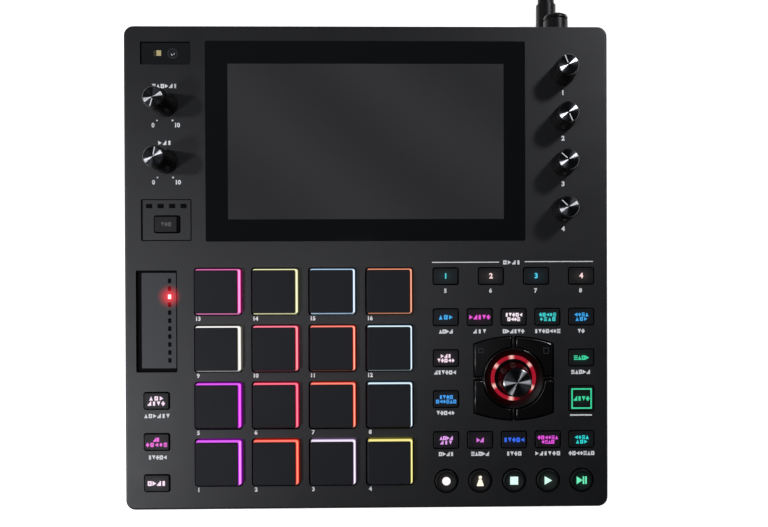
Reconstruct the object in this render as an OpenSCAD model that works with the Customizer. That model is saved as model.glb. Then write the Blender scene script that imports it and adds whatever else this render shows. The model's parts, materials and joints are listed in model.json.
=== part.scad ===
// Tabletop drum machine: sixteen lit pads, a flush display, six small knobs,
// a lit data dial, lit keys, rear sockets and its low-voltage supply lead.
// Millimetres. +Z is up, +X is the player's right and +Y points to the rear.
// The origin is on the table, under the middle of the case and its power button.

/* [Case] */
// Width of the case
body_w = 272; // [264:1:320]
// Depth of the case, front to rear
body_d = 272; // [266:1:320]
// Height of the case from its underside to the panel
case_h = 36; // [34:0.5:48]
// Thickness of the panel
panel_t = 3; // [2.6:0.1:4]
// Thickness of the side walls and the rear wall
wall = 2.5; // [2:0.1:3]
// Thickness of the floor
floor_t = 2.5; // [2:0.1:4]
// Height of the lower case half on the front and sides
tray_h = 9; // [8:0.5:12]
// Radius of the upright corners
corner_r = 5.5; // [4:0.5:10]
// Radius of the soft edges round the panel and the underside
edge_r = 1.5; // [0.5:0.1:2]
// Shadow gap between the two case halves
reveal = 0.4; // [0.2:0.1:1]
// Height of the rubber feet
foot_h = 3; // [2:0.5:8]
// Radius of the rubber feet
foot_r = 9; // [5:0.5:14]
// Distance of each foot from the sides of the case
foot_inset = 30; // [20:1:60]

/* [Display] */
// Distance of the cover glass from the left side
glass_left = 45.8; // [45:0.1:60]
// Distance of the cover glass from the right side
glass_right = 46.8; // [46:0.1:60]
// Gap between the glass and the pads or keys in front of it
glass_front = 14.7; // [12:0.1:30]
// Thickness of the cover glass
glass_t = 1.5; // [1:0.1:1.8]
// Distance of the glass from the rear edge of the panel
glass_rear = 8.8; // [8:0.1:20]
// Width of the glass's border beside the display module
bezel_side = 7.7; // [5:0.1:20]
// Width of the glass's border in front of and behind the module
bezel_front = 7.6; // [5:0.1:20]
// Height of the display module
module_h = 5.5; // [3:0.1:6]

/* [Pads] */
// Amount by which a pad widens from its top to the panel, on each side
pad_flare = 0.8; // [0.2:0.1:1.2]
// Height of a pad above the panel
pad_rise = 3.7; // [2:0.1:6]
// Width of the panel between two pad openings
pad_web = 4.8; // [4:0.1:8]
// Gap between the left keys and the pad openings
pad_left = 13.45; // [12:0.05:20]
// Gap between the pad openings and the right keys
pad_right = 10.75; // [10:0.05:16]
// Gap between the pad openings and the front
pad_front = 13.1; // [9:0.1:17]
// Travel of a pad
pad_travel = 0.8; // [0.4:0.1:1.2]
// Radius of the pad corners
pad_corner = 1.2; // [0.5:0.1:3]

/* [Keys] */
// Width of a lit key
key_w = 13.6; // [10:0.1:14.6]
// Depth of a lit key, front to rear
key_d = 8.9; // [7:0.1:10]
// Height of the keys above the panel
key_rise = 0.7; // [0.2:0.1:2]
// Travel of the keys
key_travel = 1; // [0.5:0.1:1.4]
// Radius of the key corners
key_corner = 0.8; // [0.3:0.1:2]
// Radius of a round transport key
transport_r = 6.3; // [5:0.1:7]
// Distance between key columns
col_pitch = 19.15; // [18.4:0.05:20.4]
// Distance between key rows
row_pitch = 23.12; // [20:0.02:24.4]
// Distance of the last key column from the right side
col_right = 15.2; // [14.6:0.1:21]
// Distance of the first key row from the front
row_front = 15.4; // [14.6:0.1:19]
// Distance of the left key column from the left side
side_left = 17.9; // [15:0.1:19]
// Gap between a cap and its opening in the panel
cap_gap = 0.65; // [0.3:0.05:0.9]

/* [Knobs] */
// Radius of a knob at its foot
knob_r = 6.8; // [5:0.1:8]
// Amount by which a knob narrows to its top
knob_taper = 1.1; // [0:0.1:2]
// Height of the knob tops above the panel
knob_rise = 16.5; // [12:0.1:20]
// Gap between a knob and the panel
knob_lift = 0.6; // [0.3:0.1:2]
// Distance of the left knobs from the left side
knob_left = 23.5; // [18:0.1:27]
// Distance between the two left knobs
left_knob_pitch = 31.9; // [22:0.1:34]
// Shift of the left knobs towards the front, from the middle of their space
left_knob_drop = 0.9; // [0:0.1:3]
// Distance of the right knobs from the right side
knob_right = 25.3; // [19:0.1:28]
// Distance of the first right knob from the rear
param_rear = 26.9; // [26.6:0.1:31]
// Distance of the last right knob from the row of bank keys
param_front = 37.3; // [30:0.1:50]
// Radius of the control shafts
shaft_r = 3; // [2:0.1:3.4]
// Running clearance of the shafts in their bushings and caps
shaft_fit = 0.05; // [0.02:0.01:0.1]

/* [Dial] */
// Radius of the dial at its foot
dial_r = 9.8; // [7:0.1:10.2]
// Amount by which the dial narrows to its top
dial_taper = 2.1; // [0:0.1:3]
// Push travel of the dial
dial_travel = 0.8; // [0.4:0.1:1]
// Outer radius of the light ring
ring_r = 12.75; // [12.2:0.05:13.6]
// Width of the light ring
ring_w = 1.9; // [1:0.1:2]
// Radius of the dished well round the dial
well_r = 16.8; // [15.6:0.1:17.4]
// Width of the key plate round the dial
plate_w = 44.4; // [42:0.1:47]
// Depth of that plate through its middle
plate_d = 46.8; // [44:0.1:50]
// Radius of the curved front and rear of that plate
plate_r = 62.4; // [45:0.2:90]
// Width of the webs between the four corner keys
web = 1.2; // [0.8:0.1:2]

/* [Touch strip and windows] */
// Width of the touch strip's recess
strip_w = 23; // [20:0.2:24]
// Length of the touch strip's recess
strip_d = 57.3; // [50:0.1:59]
// Width of the touch plate
touch_w = 19.2; // [16:0.1:20]
// Length of the touch plate
touch_d = 53.6; // [46:0.1:55]
// Thickness of the touch plate
touch_t = 1; // [0.6:0.1:1.4]
// Distance of the strip's recess from the left side
strip_left = 6.5; // [6:0.1:7]
// Distance of the strip's recess from the front
strip_front = 77.5; // [76.6:0.1:79]
// Number of level lights in the strip
pips = 11; // [5:1:12]
// Distance between the level lights
pip_pitch = 4.48; // [3.4:0.02:4.6]
// Width of a level light
pip_w = 1.5; // [1:0.1:2]
// Length of a level light
pip_d = 2.3; // [1.4:0.1:2.6]
// Width of the sensor window
sensor_w = 28; // [20:0.2:29]
// Depth of the sensor window, front to rear
sensor_d = 12.8; // [8:0.1:14]
// Distance of the sensor window from the rear
sensor_rear = 9.1; // [8:0.1:13]
// Gap between the strip's recess and the grooved frame behind it
frame_gap = 16.45; // [12:0.05:18]
// Width of the grooved frame round the link key
frame_w = 28; // [24:0.2:29]
// Depth of that frame, front to rear
frame_d = 23.5; // [22:0.1:25]
// Width of the groove
groove_w = 0.6; // [0.4:0.1:1]
// Width of a link light
bar_w = 3.1; // [2:0.1:4]
// Depth of a link light, front to rear
bar_d = 2.2; // [1.4:0.1:3]
// Distance between the link lights
bar_pitch = 6.4; // [5:0.1:6.8]

/* [Boards and rear] */
// Thickness of the circuit boards
board_t = 1.6; // [1:0.1:2]
// Distance from the panel's underside to the panel board
board_drop = 9; // [8.6:0.1:10]
// Height of the standoffs under the main board
standoff_h = 2; // [1.5:0.1:3]
// Radius of the bore of a large audio socket
jack_bore_r = 3.2; // [3.15:0.01:3.25]
// Depth of that bore
jack_bore = 28; // [24:0.5:34]
// Radius of the bore of a small socket
mini_bore_r = 1.8; // [1.76:0.01:1.85]
// Depth of that bore
mini_bore = 12; // [9:0.5:16]
// Radius of the power button
button_r = 7; // [5:0.1:7.2]
// Distance by which the power button stands out
button_rise = 10; // [4:0.5:12]
// Travel of the power button
button_travel = 2.5; // [1:0.1:3]
// Distance of the power button from the right side
button_right = 27.1; // [22:0.1:34]
// Distance of the power inlet from the right side
inlet_right = 30.3; // [23:0.1:35]
// Height of the power inlet above the floor of the case
inlet_rise = 7.7; // [7.2:0.1:8]
// Radius of the supply lead
cord_r = 2.5; // [2:0.1:3]

/* [Hidden] */
$fn = 48;
e = 0.01;
fit = 0.15;                 // gap round parts that drop into a seat
flange = 0.8;               // reach of a retaining flange past its opening
flange_t = 2.8;             // thickness of that flange
flange_gap = 0.2;           // gap between a flange and the panel's underside
stop_gap = 0.1;             // gap that is left under a stem at full travel
dome_h = 3;                 // height of a switch dome
dome_r = 2.6;               // radius of a switch dome
stem_r = 2;                 // radius of a key's stem
soft_gap = 0.8;             // gap between a pad and its opening
sensor_t = 0.3;             // thickness of a pad's force sensor
sensor_inset = 2;           // distance of the sensor's edge from the pad's edge
plunger_w = 12;             // width of the foot that presses the sensor

panel_z = foot_h + case_h;
under_z = panel_z - panel_t;
floor_z = foot_h + floor_t;
split_z = foot_h + tray_h;
board_z = under_z - board_drop;              // top of the panel board
main_z = floor_z + standoff_h + board_t;     // top of the main board
shift_y = -button_rise / 2;                  // centres the case and its button
left = -body_w / 2;
right = body_w / 2;
front = -body_d / 2;
rear = body_d / 2;

// Places on the panel, measured from the middle of the case
function col(i) = right - col_right - (5 - i) * col_pitch;
function row(i) = front + row_front + (i - 1) * row_pitch;
function bank_x(i) = col(1) + (i - 1) * (col(5) - col(1)) / 3;
side_x = left + side_left;

key_open = [key_w + 2 * cap_gap, key_d + 2 * cap_gap];
shift_open = [key_w + 2 * cap_gap, key_w + 2 * cap_gap];
transport_open = transport_r + cap_gap;

// The pads fill the space between the left keys and the right keys
field_left = side_x + key_open[0] / 2 + pad_left;
field_w = col(1) - key_open[0] / 2 - pad_right - field_left;
pad_open = (field_w - 3 * pad_web) / 4;
pad_pitch = pad_open + pad_web;
pad_base = pad_open - 2 * soft_gap;
pad_w = pad_base - 2 * pad_flare;
function pad_x(i) = field_left + pad_open / 2 + (i % 4) * pad_pitch;
function pad_y(i) = front + pad_front + pad_open / 2 + floor(i / 4) * pad_pitch;

// The glass fills the space behind the pads and the bank keys
glass_w = body_w - glass_left - glass_right;
glass_edge = max(pad_y(12) + pad_open / 2, row(6) + key_open[1] / 2) + glass_front;
glass_d = rear - glass_rear - glass_edge;
module_w = glass_w - 2 * bezel_side;
module_d = glass_d - 2 * bezel_front;
dial_pos = [col(3), (row(3) + row(4)) / 2];
glass_pos = [left + glass_left + glass_w / 2, rear - glass_rear - glass_d / 2];
strip_pos = [left + strip_left + strip_w / 2, front + strip_front + strip_d / 2];
frame_pos = [left + knob_left + 0.3, strip_pos[1] + strip_d / 2 + frame_gap + frame_d / 2];
link_pos = frame_pos + [0.4, -2.4];
bar_y = frame_pos[1] + frame_d / 2 - 3.9;
sensor_pos = [left + knob_left, rear - sensor_rear - sensor_d / 2];
knobs_y = (frame_pos[1] + frame_d / 2 + sensor_pos[1] - sensor_d / 2) / 2 - left_knob_drop;
master_pos = [left + knob_left, knobs_y + left_knob_pitch / 2];
rec_pos = [left + knob_left, knobs_y - left_knob_pitch / 2];
param_pitch = (rear - param_rear - row(6) - param_front) / 3;
function param_pos(i) = [right - knob_right, rear - param_rear - (i - 1) * param_pitch];
touch_pos = [strip_pos[0] + 0.9, strip_pos[1] + 0.4];
pip_x = touch_pos[0] + touch_w / 2 - 3.6;

transport_points = [for (i = [1:5]) [col(i), row(1)]];
edit_points = [for (i = [1:5]) [col(i), row(2)]];
mode_points = [for (i = [1:5]) [col(i), row(5)]];
bank_points = [for (i = [1:4]) [bank_x(i), row(6)]];
level_points = [for (i = [3, 2, 1]) [side_x, row(i)]];
tap_pos = [col(1), row(4)];
repeat_pos = [col(1), row(3)];
menu_pos = [col(5), row(4)];
shift_pos = [col(5), row(3)];
corner_stems = [for (x = [-1, 1], y = [-1, 1]) dial_pos + [x * 17, y * 15]];
plain_points = concat(edit_points, mode_points, bank_points, level_points,
                      [tap_pos, repeat_pos, menu_pos, link_pos]);
dome_points = concat(plain_points, transport_points, [shift_pos], corner_stems);
knob_points = concat([master_pos, rec_pos], [for (i = [1:4]) param_pos(i)]);

// Fixings
screw_r = 1.5;
screw_head_r = 2.8;
screw_head_h = 1.8;
small_screw_r = 1.2;
small_head_r = 2.2;
small_head_h = 1.5;
thread_fit = 0.05;
boss_r = 3.5;
boss_inset = wall + boss_r - 0.3;
boss_y = strip_pos[1] + strip_d / 2 + frame_gap / 2;
boss_points = concat([for (x = [-1, 1], y = [-1, 1])
    [x * (right - boss_inset), y * (rear - boss_inset)]],
    [for (x = [-1, 1]) [x * (right - boss_inset), boss_y]]);
post_r = 2.5;
gutter_x = (pad_x(3) + pad_open / 2 + col(1) - key_open[0] / 2) / 2;
left_gutter_x = (side_x + key_open[0] / 2 + pad_x(0) - pad_open / 2) / 2;
post_points = [[left_gutter_x, pad_y(0)], [gutter_x, pad_y(0)], [gutter_x, pad_y(12)],
               [left_gutter_x, row(3) + 8.6],
               [glass_pos[0] - glass_w / 2 - 7, rec_pos[1]],
               [glass_pos[0] + glass_w / 2 + 7, rec_pos[1]]];
main_w = body_w - 40;
main_d = 199;
main_y = rear - wall - 0.5 - main_d / 2;
standoff_r = 3;
standoff_inset = 6;
standoff_points = [for (x = [-1, 1], y = [main_y - main_d / 2 + standoff_inset, rear - 40])
    [x * (main_w / 2 - standoff_inset), y]];
processor = [28, 28, 3];
memory = [14, 12, 1.2];
memory_pitch = 20;
capacitor_r = 3.5;
capacitor_h = 8;
capacitor_pitch = 9;
header = [40, 5, 5];
rear_w = body_w - 20;       // width of the rear wall between the rear corners

// Bushings and controls
bushing_r = shaft_r + 1.5;
pot_h = 7;
pot_w = 10;
pot_d = 11;
encoder_w = 14;
encoder_h = 6;
shaft_foot = 1.4;           // material under a control shaft
cap_depth = 5.5;            // material above the shaft in a cap

// Dial well
well_drop = 5.5;            // depth of the well's body below the panel
dish_drop = 1.4;            // depth of the dish at the light ring
hub_drop = 1.8;             // depth of the hub's face below the panel
ring_depth = 2.6;           // depth of the ring's channel below the dish
dial_gap = 1;               // gap between the dial and the hub
button_stub = 1;            // length of the plunger behind the power button
button_back = 3;            // length of the power button inside the rear wall

// Rear sockets
inlet_x = right - inlet_right;
inlet_z = foot_h + floor_t + inlet_rise;
button_x = right - button_right;
button_z = under_z - button_r - 1.4;
jack_z = main_z + 7.4;
jack_points = [-104, -82, -52, -30, 0];
mini_points = [22, 36];
usb_wide_x = 56;
usb_square_x = 78;
usb_wide = [13.2, 5.8];
usb_square = [8.6, 7.9];
usb_wide_tongue = [11.2, 1.9];
usb_square_tongue = [5.6, 3.2];
usb_wide_rise = 1.2;        // height of the wide tongue over the cavity's middle
tongue_l = 11;
shell_t = 0.6;              // thickness of the metal shells
jack_body = [15.5, 31, 14.8];
socket_l = 14;              // length of the small sockets
mini_body = [8, socket_l, 11.4];
cavity_l = 12;              // depth of their cavities
inlet_w = 9;
switch_board = [16, 1.4];   // the upright board behind the power button
switch_w = 12;
socket_gap = 0.1;           // gap between the sockets and the rear wall
socket_margin = 6.5;        // distance of the end sockets from the ends of their notch
socket_seam = 0.3;          // gap between two face plates
socket_points = concat(jack_points, mini_points);
face_ends = concat([socket_points[0] - socket_margin],
                   [for (i = [1:len(socket_points) - 1])
                       (socket_points[i - 1] + socket_points[i]) / 2],
                   [socket_points[len(socket_points) - 1] + socket_margin]);
barrel_r = 2.75;            // radius of the supply plug's barrel
barrel_l = 11;
barrel_bore_r = 1.1;
inlet_pin_r = 0.95;
plug_fit = 0.1;

// Supply lead: the free stretch's route, and the coil beside it
plug_l = 50;
rear_y = rear + shift_y;
cord_route = [[105.7, 181, 13.2], [105.7, 187, 13], [105.7, 194, 11.9], [105.7, 201, 9.8],
              [105.6, 208, 7.2], [105.3, 215, 4.8], [104.6, 222, 3.1], [103, 229, 2.5],
              [99.6, 235.4, 2.5], [94.2, 240.6, 2.5], [87, 244, 2.5], [78.5, 245.8, 2.5],
              [69, 246, 2.5], [57, 246, 2.5], [45, 246, 2.5]];
cord_sides = 10;
coil_pos = [45, 211];
coil_turns = [20, 25, 30, 35];   // radii of the turns in one layer
coil_layers = 2;
adapter_size = [76, 46, 33];
adapter_pos = [-46, 241];
adapter_relief = 33;

LEVEL_NAMES = ["full_level_key", "level_steps_key", "erase_key"];
TRANSPORT_NAMES = ["record_key", "overdub_key", "stop_key", "play_key", "play_start_key"];
function two(i) = i < 10 ? str("0", i) : str(i);
function pad_name(i) = str("pad_", two(i));
function bank_name(i) = str("bank_key_", i);
function param_name(i) = str("param_knob_", i);

// Common shapes

module at(p, z = 0) { translate([p[0], p[1], z]) children(); }

module round_rect(w, d, r) {
    square([w - 2 * r, d], center = true);
    square([w, d - 2 * r], center = true);
    for (x = [-1, 1], y = [-1, 1])
        translate([x * (w / 2 - r), y * (d / 2 - r)]) circle(r = r);
}

module slab(w, d, h, r) { linear_extrude(height = h) round_rect(w, d, r); }

module soft_section(w, h, r) {
    translate([-w / 2, 0]) square([w, h - r]);
    translate([-w / 2 + r, 0]) square([w - 2 * r, h]);
    for (s = [-1, 1]) translate([s * (w / 2 - r), h - r]) circle(r = r);
}

// A slab with round corners and a rounded top edge
module soft_slab(w, d, h, corner, edge) {
    rotate([90, 0, 0])
        linear_extrude(height = d - 2 * corner, center = true) soft_section(w, h, edge);
    rotate([90, 0, 90])
        linear_extrude(height = w - 2 * corner, center = true) soft_section(d, h, edge);
    for (x = [-1, 1], y = [-1, 1])
        translate([x * (w / 2 - corner), y * (d / 2 - corner), 0])
            rotate_extrude() {
                square([corner, h - edge]);
                square([corner - edge, h]);
                translate([corner - edge, h - edge]) circle(r = edge);
            }
}

module tube(r, bore, h) {
    difference() {
        cylinder(r = r, h = h);
        translate([0, 0, -1]) cylinder(r = bore, h = h + 2);
    }
}

// A bar or bore along +Y
module along_y(r, l) { rotate([-90, 0, 0]) cylinder(r = r, h = l); }

// The outline of the key plate round the dial: flat sides, curved front and rear
module plate_outline(grow) {
    intersection() {
        square([plate_w + 2 * grow, plate_d + 2 * grow], center = true);
        translate([0, plate_d / 2 - plate_r]) circle(r = plate_r + grow);
        translate([0, plate_r - plate_d / 2]) circle(r = plate_r + grow);
    }
}

// One corner of that plate, outside the well and clear of the webs
module plate_corner(x, y, grow, gap) {
    intersection() {
        difference() {
            plate_outline(grow);
            circle(r = well_r + gap);
        }
        translate([x > 0 ? web / 2 + gap : -plate_w, y > 0 ? web / 2 + gap : -plate_d])
            square([plate_w - web / 2 - gap, plate_d - web / 2 - gap]);
    }
}

// Case

module panel_openings() {
    for (i = [0:15]) translate([pad_x(i), pad_y(i), under_z - 1])
        slab(pad_open, pad_open, panel_t + 2, pad_corner + soft_gap);
    for (p = plain_points) at(p, under_z - 1)
        slab(key_open[0], key_open[1], panel_t + 2, key_corner + cap_gap);
    at(shift_pos, under_z - 1) slab(shift_open[0], shift_open[1], panel_t + 2,
                                    key_corner + cap_gap);
    for (p = transport_points) at(p, under_z - 1)
        cylinder(r = transport_open, h = panel_t + 2);
    for (p = knob_points) at(p, under_z - 1)
        cylinder(r = bushing_r + 0.25, h = panel_t + 2);
    for (x = [-1, 1], y = [-1, 1]) at(dial_pos, under_z - well_drop)
        linear_extrude(height = panel_t + well_drop + 1) plate_corner(x, y, cap_gap, 0);
}

module display_seat() {
    at(glass_pos, panel_z - glass_t) slab(glass_w + 2 * fit, glass_d + 2 * fit, glass_t + 1, 1);
    at(glass_pos, under_z - 1) slab(module_w + 2, module_d + 2, panel_t + 2, 1);
}

module strip_seat() {
    at(strip_pos, panel_z - touch_t - 1) slab(strip_w, strip_d, touch_t + 2, 0.8);
    for (i = [0:pips - 1]) translate([pip_x, pip_y(i), under_z - 1])
        slab(pip_w + 2 * fit, pip_d + 2 * fit, panel_t + 1, 0.3);
}

module window_seats() {
    at(sensor_pos, panel_z - 1.6) slab(sensor_w, sensor_d, 2, 0.8);
    for (i = [0:3]) translate([bar_x(i), bar_y, under_z - 1])
        slab(bar_w + 2 * fit, bar_d + 2 * fit, panel_t + 2, 0.3);
    at(frame_pos, panel_z - 0.5) difference() {
        slab(frame_w, frame_d, 1, 0.8);
        translate([0, 0, -1]) slab(frame_w - 2 * groove_w, frame_d - 2 * groove_w, 3, 0.5);
    }
}

function bar_x(i) = frame_pos[0] + (i - 1.5) * bar_pitch;
function pip_y(i) = touch_pos[1] + (i - (pips - 1) / 2) * pip_pitch;

// The hollow parts of the dial's well: dish, ring channel, bushing hole and light holes
module well_cuts() {
    z = panel_z - dish_drop;
    at(dial_pos, z) cylinder(r1 = ring_r + fit, r2 = well_r - 0.4, h = dish_drop + e);
    at(dial_pos, panel_z - hub_drop) cylinder(r = ring_r + fit, h = hub_drop + e);
    at(dial_pos, z - ring_depth) difference() {
        cylinder(r = ring_r + fit, h = ring_depth + 1);
        translate([0, 0, -1]) cylinder(r = ring_r - ring_w - fit, h = ring_depth + 3);
    }
    at(dial_pos, under_z - well_drop) cylinder(r = bushing_r + 0.25, h = well_drop + panel_t);
    for (i = [0:5]) at(dial_pos) rotate([0, 0, 60 * i])
        translate([0, ring_r - ring_w / 2, under_z - well_drop])
            cylinder(r = 0.8, h = well_drop + panel_t - dish_drop);
}

module top_case() color([0.18, 0.19, 0.2]) translate([0, shift_y, 0]) {
    difference() {
        union() {
            difference() {
                translate([0, 0, split_z])
                    soft_slab(body_w, body_d, panel_z - split_z, corner_r, edge_r);
                translate([0, 0, split_z - 1])
                    slab(body_w - 2 * wall, body_d - 2 * wall, under_z - split_z + 1,
                         max(corner_r - wall, 0.5));
                translate([-rear_w / 2, rear - wall - 1, split_z - 1])
                    cube([rear_w, wall + 2, under_z - split_z + 1]);
            }
            for (p = boss_points) at(p, split_z) cylinder(r = boss_r, h = under_z - split_z + 1);
            for (p = post_points) at(p, board_z) cylinder(r = post_r, h = board_drop + 1);
            at(dial_pos, panel_z - well_drop) cylinder(r = well_r, h = well_drop);
        }
        panel_openings();
        display_seat();
        strip_seat();
        window_seats();
        well_cuts();
        for (p = boss_points) at(p, split_z - 1) cylinder(r = screw_r + thread_fit, h = 13);
        for (p = post_points) at(p, board_z - 1) cylinder(r = small_screw_r + thread_fit, h = 7);
    }
}

module rear_wall_holes() {
    y = rear - wall - 1;
    translate([face_ends[0] - fit, y, main_z - fit])
        cube([face_ends[len(socket_points)] - face_ends[0] + 2 * fit, wall + 2, under_z]);
    translate([inlet_x, y, inlet_z]) along_y(barrel_r + 1.2, wall + 2);
    translate([button_x, y, button_z]) along_y(button_r + 0.3, wall + 2);
    translate([usb_wide_x, y + wall, jack_z]) cube([usb_wide[0] + 1, 2 * wall + 4,
                                                    usb_wide[1] + 1], center = true);
    translate([usb_square_x, y + wall, jack_z]) cube([usb_square[0] + 1, 2 * wall + 4,
                                                      usb_square[1] + 1], center = true);
}

module floor_vents() {
    for (i = [-5:5], y = [front + 60, front + 96])
        translate([i * 9, y, foot_h - 1]) slab(2.4, 24, floor_t + 2, 1.1);
}

module bottom_case() color([0.12, 0.12, 0.13]) translate([0, shift_y, 0]) {
    tray_top = split_z - reveal;
    difference() {
        union() {
            difference() {
                translate([0, 0, tray_top]) mirror([0, 0, 1])
                    soft_slab(body_w, body_d, tray_top - foot_h, corner_r, edge_r);
                translate([0, 0, floor_z])
                    slab(body_w - 2 * wall, body_d - 2 * wall, tray_h, max(corner_r - wall, 0.5));
            }
            translate([-rear_w / 2 + fit, rear - wall, floor_z - 1])
                cube([rear_w - 2 * fit, wall, under_z - fit - floor_z + 1]);
            for (p = boss_points) at(p, foot_h + 1) cylinder(r = boss_r, h = split_z - foot_h - 1);
            for (p = standoff_points) at(p, foot_h + 1)
                cylinder(r = standoff_r, h = floor_z + standoff_h - foot_h - 1);
        }
        for (p = boss_points) at(p, foot_h - 1) {
            cylinder(r = screw_r + 0.2, h = tray_h + 2);
            cylinder(r = screw_head_r + 0.2, h = screw_head_h + 1.2);
        }
        for (p = standoff_points) at(p, foot_h + 1)
            cylinder(r = small_screw_r + thread_fit, h = floor_t + standoff_h);
        rear_wall_holes();
        floor_vents();
    }
}

module feet() color([0.07, 0.07, 0.07]) translate([0, shift_y, 0])
    for (x = [-1, 1], y = [-1, 1])
        translate([x * (right - foot_inset), y * (rear - foot_inset), 0])
            cylinder(r1 = foot_r - 0.6, r2 = foot_r, h = foot_h);

module case_screw() {
    cylinder(r = screw_head_r, h = screw_head_h);
    translate([0, 0, screw_head_h - e]) cylinder(r = screw_r, h = tray_h + 7 + e);
}

module small_screw(l) {
    cylinder(r = small_head_r, h = small_head_h);
    translate([0, 0, small_head_h - e]) cylinder(r = small_screw_r, h = l + e);
}

module screws() color([0.55, 0.55, 0.58]) translate([0, shift_y, 0]) {
    for (p = boss_points) at(p, foot_h + 0.2) case_screw();
    for (p = post_points) at(p, board_z - board_t - small_head_h) small_screw(board_t + 5);
    for (p = standoff_points) at(p, main_z + small_head_h) mirror([0, 0, 1])
        small_screw(board_t + standoff_h + 0.5);
}

// Display, strip and windows

module display_glass() color([0.03, 0.03, 0.04]) translate([0, shift_y, 0])
    at(glass_pos, panel_z - glass_t) slab(glass_w, glass_d, glass_t, 0.8);

module display_module() color([0.2, 0.2, 0.2]) translate([0, shift_y, 0])
    at(glass_pos, panel_z - glass_t - module_h) slab(module_w, module_d, module_h, 0.5);

module touch_strip() color([0.3, 0.3, 0.31]) translate([0, shift_y, 0])
    difference() {
        at(touch_pos, panel_z - touch_t - 1) slab(touch_w, touch_d, touch_t, 0.5);
        for (i = [0:pips - 1]) translate([pip_x, pip_y(i), under_z])
            slab(pip_w + 2 * fit, pip_d + 2 * fit, panel_t, 0.3);
    }

module light_guides() color([0.8, 0.1, 0.1]) translate([0, shift_y, 0]) {
    at(dial_pos, panel_z - dish_drop - ring_depth)
        tube(ring_r, ring_r - ring_w, ring_depth + 0.5);
    for (i = [0:3]) translate([bar_x(i), bar_y, under_z - 1])
        slab(bar_w, bar_d, panel_t + 0.9, 0.2);
    for (i = [0:pips - 1]) translate([pip_x, pip_y(i), under_z - 1])
        slab(pip_w, pip_d, panel_t, 0.2);
    at(sensor_pos, panel_z - 1.6) slab(sensor_w - 2 * fit, sensor_d - 2 * fit, 0.8, 0.7);
}

// Boards

module main_board() color([0.05, 0.3, 0.15]) translate([0, shift_y, 0]) {
    difference() {
        translate([0, main_y, main_z - board_t]) slab(main_w, main_d, board_t, 2);
        for (p = standoff_points) at(p, main_z - board_t - 1)
            cylinder(r = small_screw_r + 0.2, h = board_t + 2);
    }
    chips_y = main_y - memory_pitch;
    translate([-processor[0], chips_y, main_z]) slab(processor[0], processor[1], processor[2], 1);
    for (i = [-1, 1]) translate([memory[0], chips_y + i * memory_pitch / 2, main_z])
        slab(memory[0], memory[1], memory[2], 0.5);
    for (x = [1, 2], y = [1, 2])
        translate([main_w / 4 + x * capacitor_pitch, main_y + y * capacitor_pitch, main_z])
            cylinder(r = capacitor_r, h = capacitor_h);
    translate([-main_w / 3, main_y - main_d / 3, main_z]) slab(header[0], header[1], header[2], 0.5);
}

module control_body(w, d, h, bushing_top) {
    difference() {
        union() {
            translate([0, 0, board_z]) slab(w, d, h, 0.6);
            translate([0, 0, board_z + h - e]) cylinder(r = bushing_r,
                                                        h = bushing_top - board_z - h + e);
        }
        translate([0, 0, board_z + shaft_foot - dial_travel])
            cylinder(r = shaft_r + shaft_fit, h = panel_t + board_drop);
    }
}

module panel_board() color([0.06, 0.25, 0.14]) translate([0, shift_y, 0]) {
    difference() {
        translate([0, (front + 11 + rear - 20) / 2, board_z - board_t])
            slab(body_w - 22, body_d - 31, board_t, 2);
        for (p = post_points) at(p, board_z - board_t - 1)
            cylinder(r = small_screw_r + 0.2, h = board_t + 2);
    }
    for (p = dome_points) at(p, board_z) cylinder(r = dome_r, h = dome_h);
    for (i = [0:15]) translate([pad_x(i), pad_y(i), board_z])
        slab(pad_w - 2 * sensor_inset, pad_w - 2 * sensor_inset, sensor_t, 1);
    for (p = knob_points) at(p) control_body(pot_w, pot_d, pot_h, panel_z - 1);
    at(dial_pos) control_body(encoder_w, encoder_w, encoder_h, panel_z - hub_drop);
}

// Rear sockets

// A socket's face plate fills the rear wall's notch from one seam to the next
module face_plate(i) {
    translate([face_ends[i] + socket_seam / 2, rear - wall - socket_gap - e, main_z])
        cube([face_ends[i + 1] - face_ends[i] - socket_seam, wall + socket_gap + e,
              under_z - fit - main_z]);
}

// An audio socket: a body on the main board, its face plate, and a bore through both
module audio_socket(i, body, bore_r, bore) {
    back = rear - wall - socket_gap;
    x = socket_points[i];
    difference() {
        union() {
            translate([x - body[0] / 2, back - body[1], main_z]) cube(body);
            face_plate(i);
        }
        translate([x, rear - bore, jack_z]) along_y(bore_r, bore + 1);
    }
}

// A shell with a cavity open to the rear, and a tongue that stands in it
module usb_socket(x, cavity, tongue, tongue_z) {
    back = rear - wall - socket_gap;
    difference() {
        translate([x - cavity[0] / 2 - shell_t, back - socket_l, main_z])
            cube([cavity[0] + 2 * shell_t, socket_l, jack_z - main_z + cavity[1] / 2 + shell_t]);
        translate([x - cavity[0] / 2, back - cavity_l, jack_z - cavity[1] / 2])
            cube([cavity[0], cavity_l + 1, cavity[1]]);
    }
    translate([x - tongue[0] / 2, back - cavity_l - e, jack_z + tongue_z - tongue[1] / 2])
        cube([tongue[0], tongue_l, tongue[1]]);
}

module power_inlet() {
    back = rear - wall - socket_gap;
    difference() {
        translate([inlet_x - inlet_w / 2, back - socket_l, main_z])
            cube([inlet_w, socket_l, inlet_z - main_z + inlet_w / 2]);
        translate([inlet_x, back - cavity_l, inlet_z]) along_y(barrel_r + plug_fit, cavity_l + 1);
    }
    translate([inlet_x, back - cavity_l - e, inlet_z]) along_y(inlet_pin_r, cavity_l - 2);
}

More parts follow.
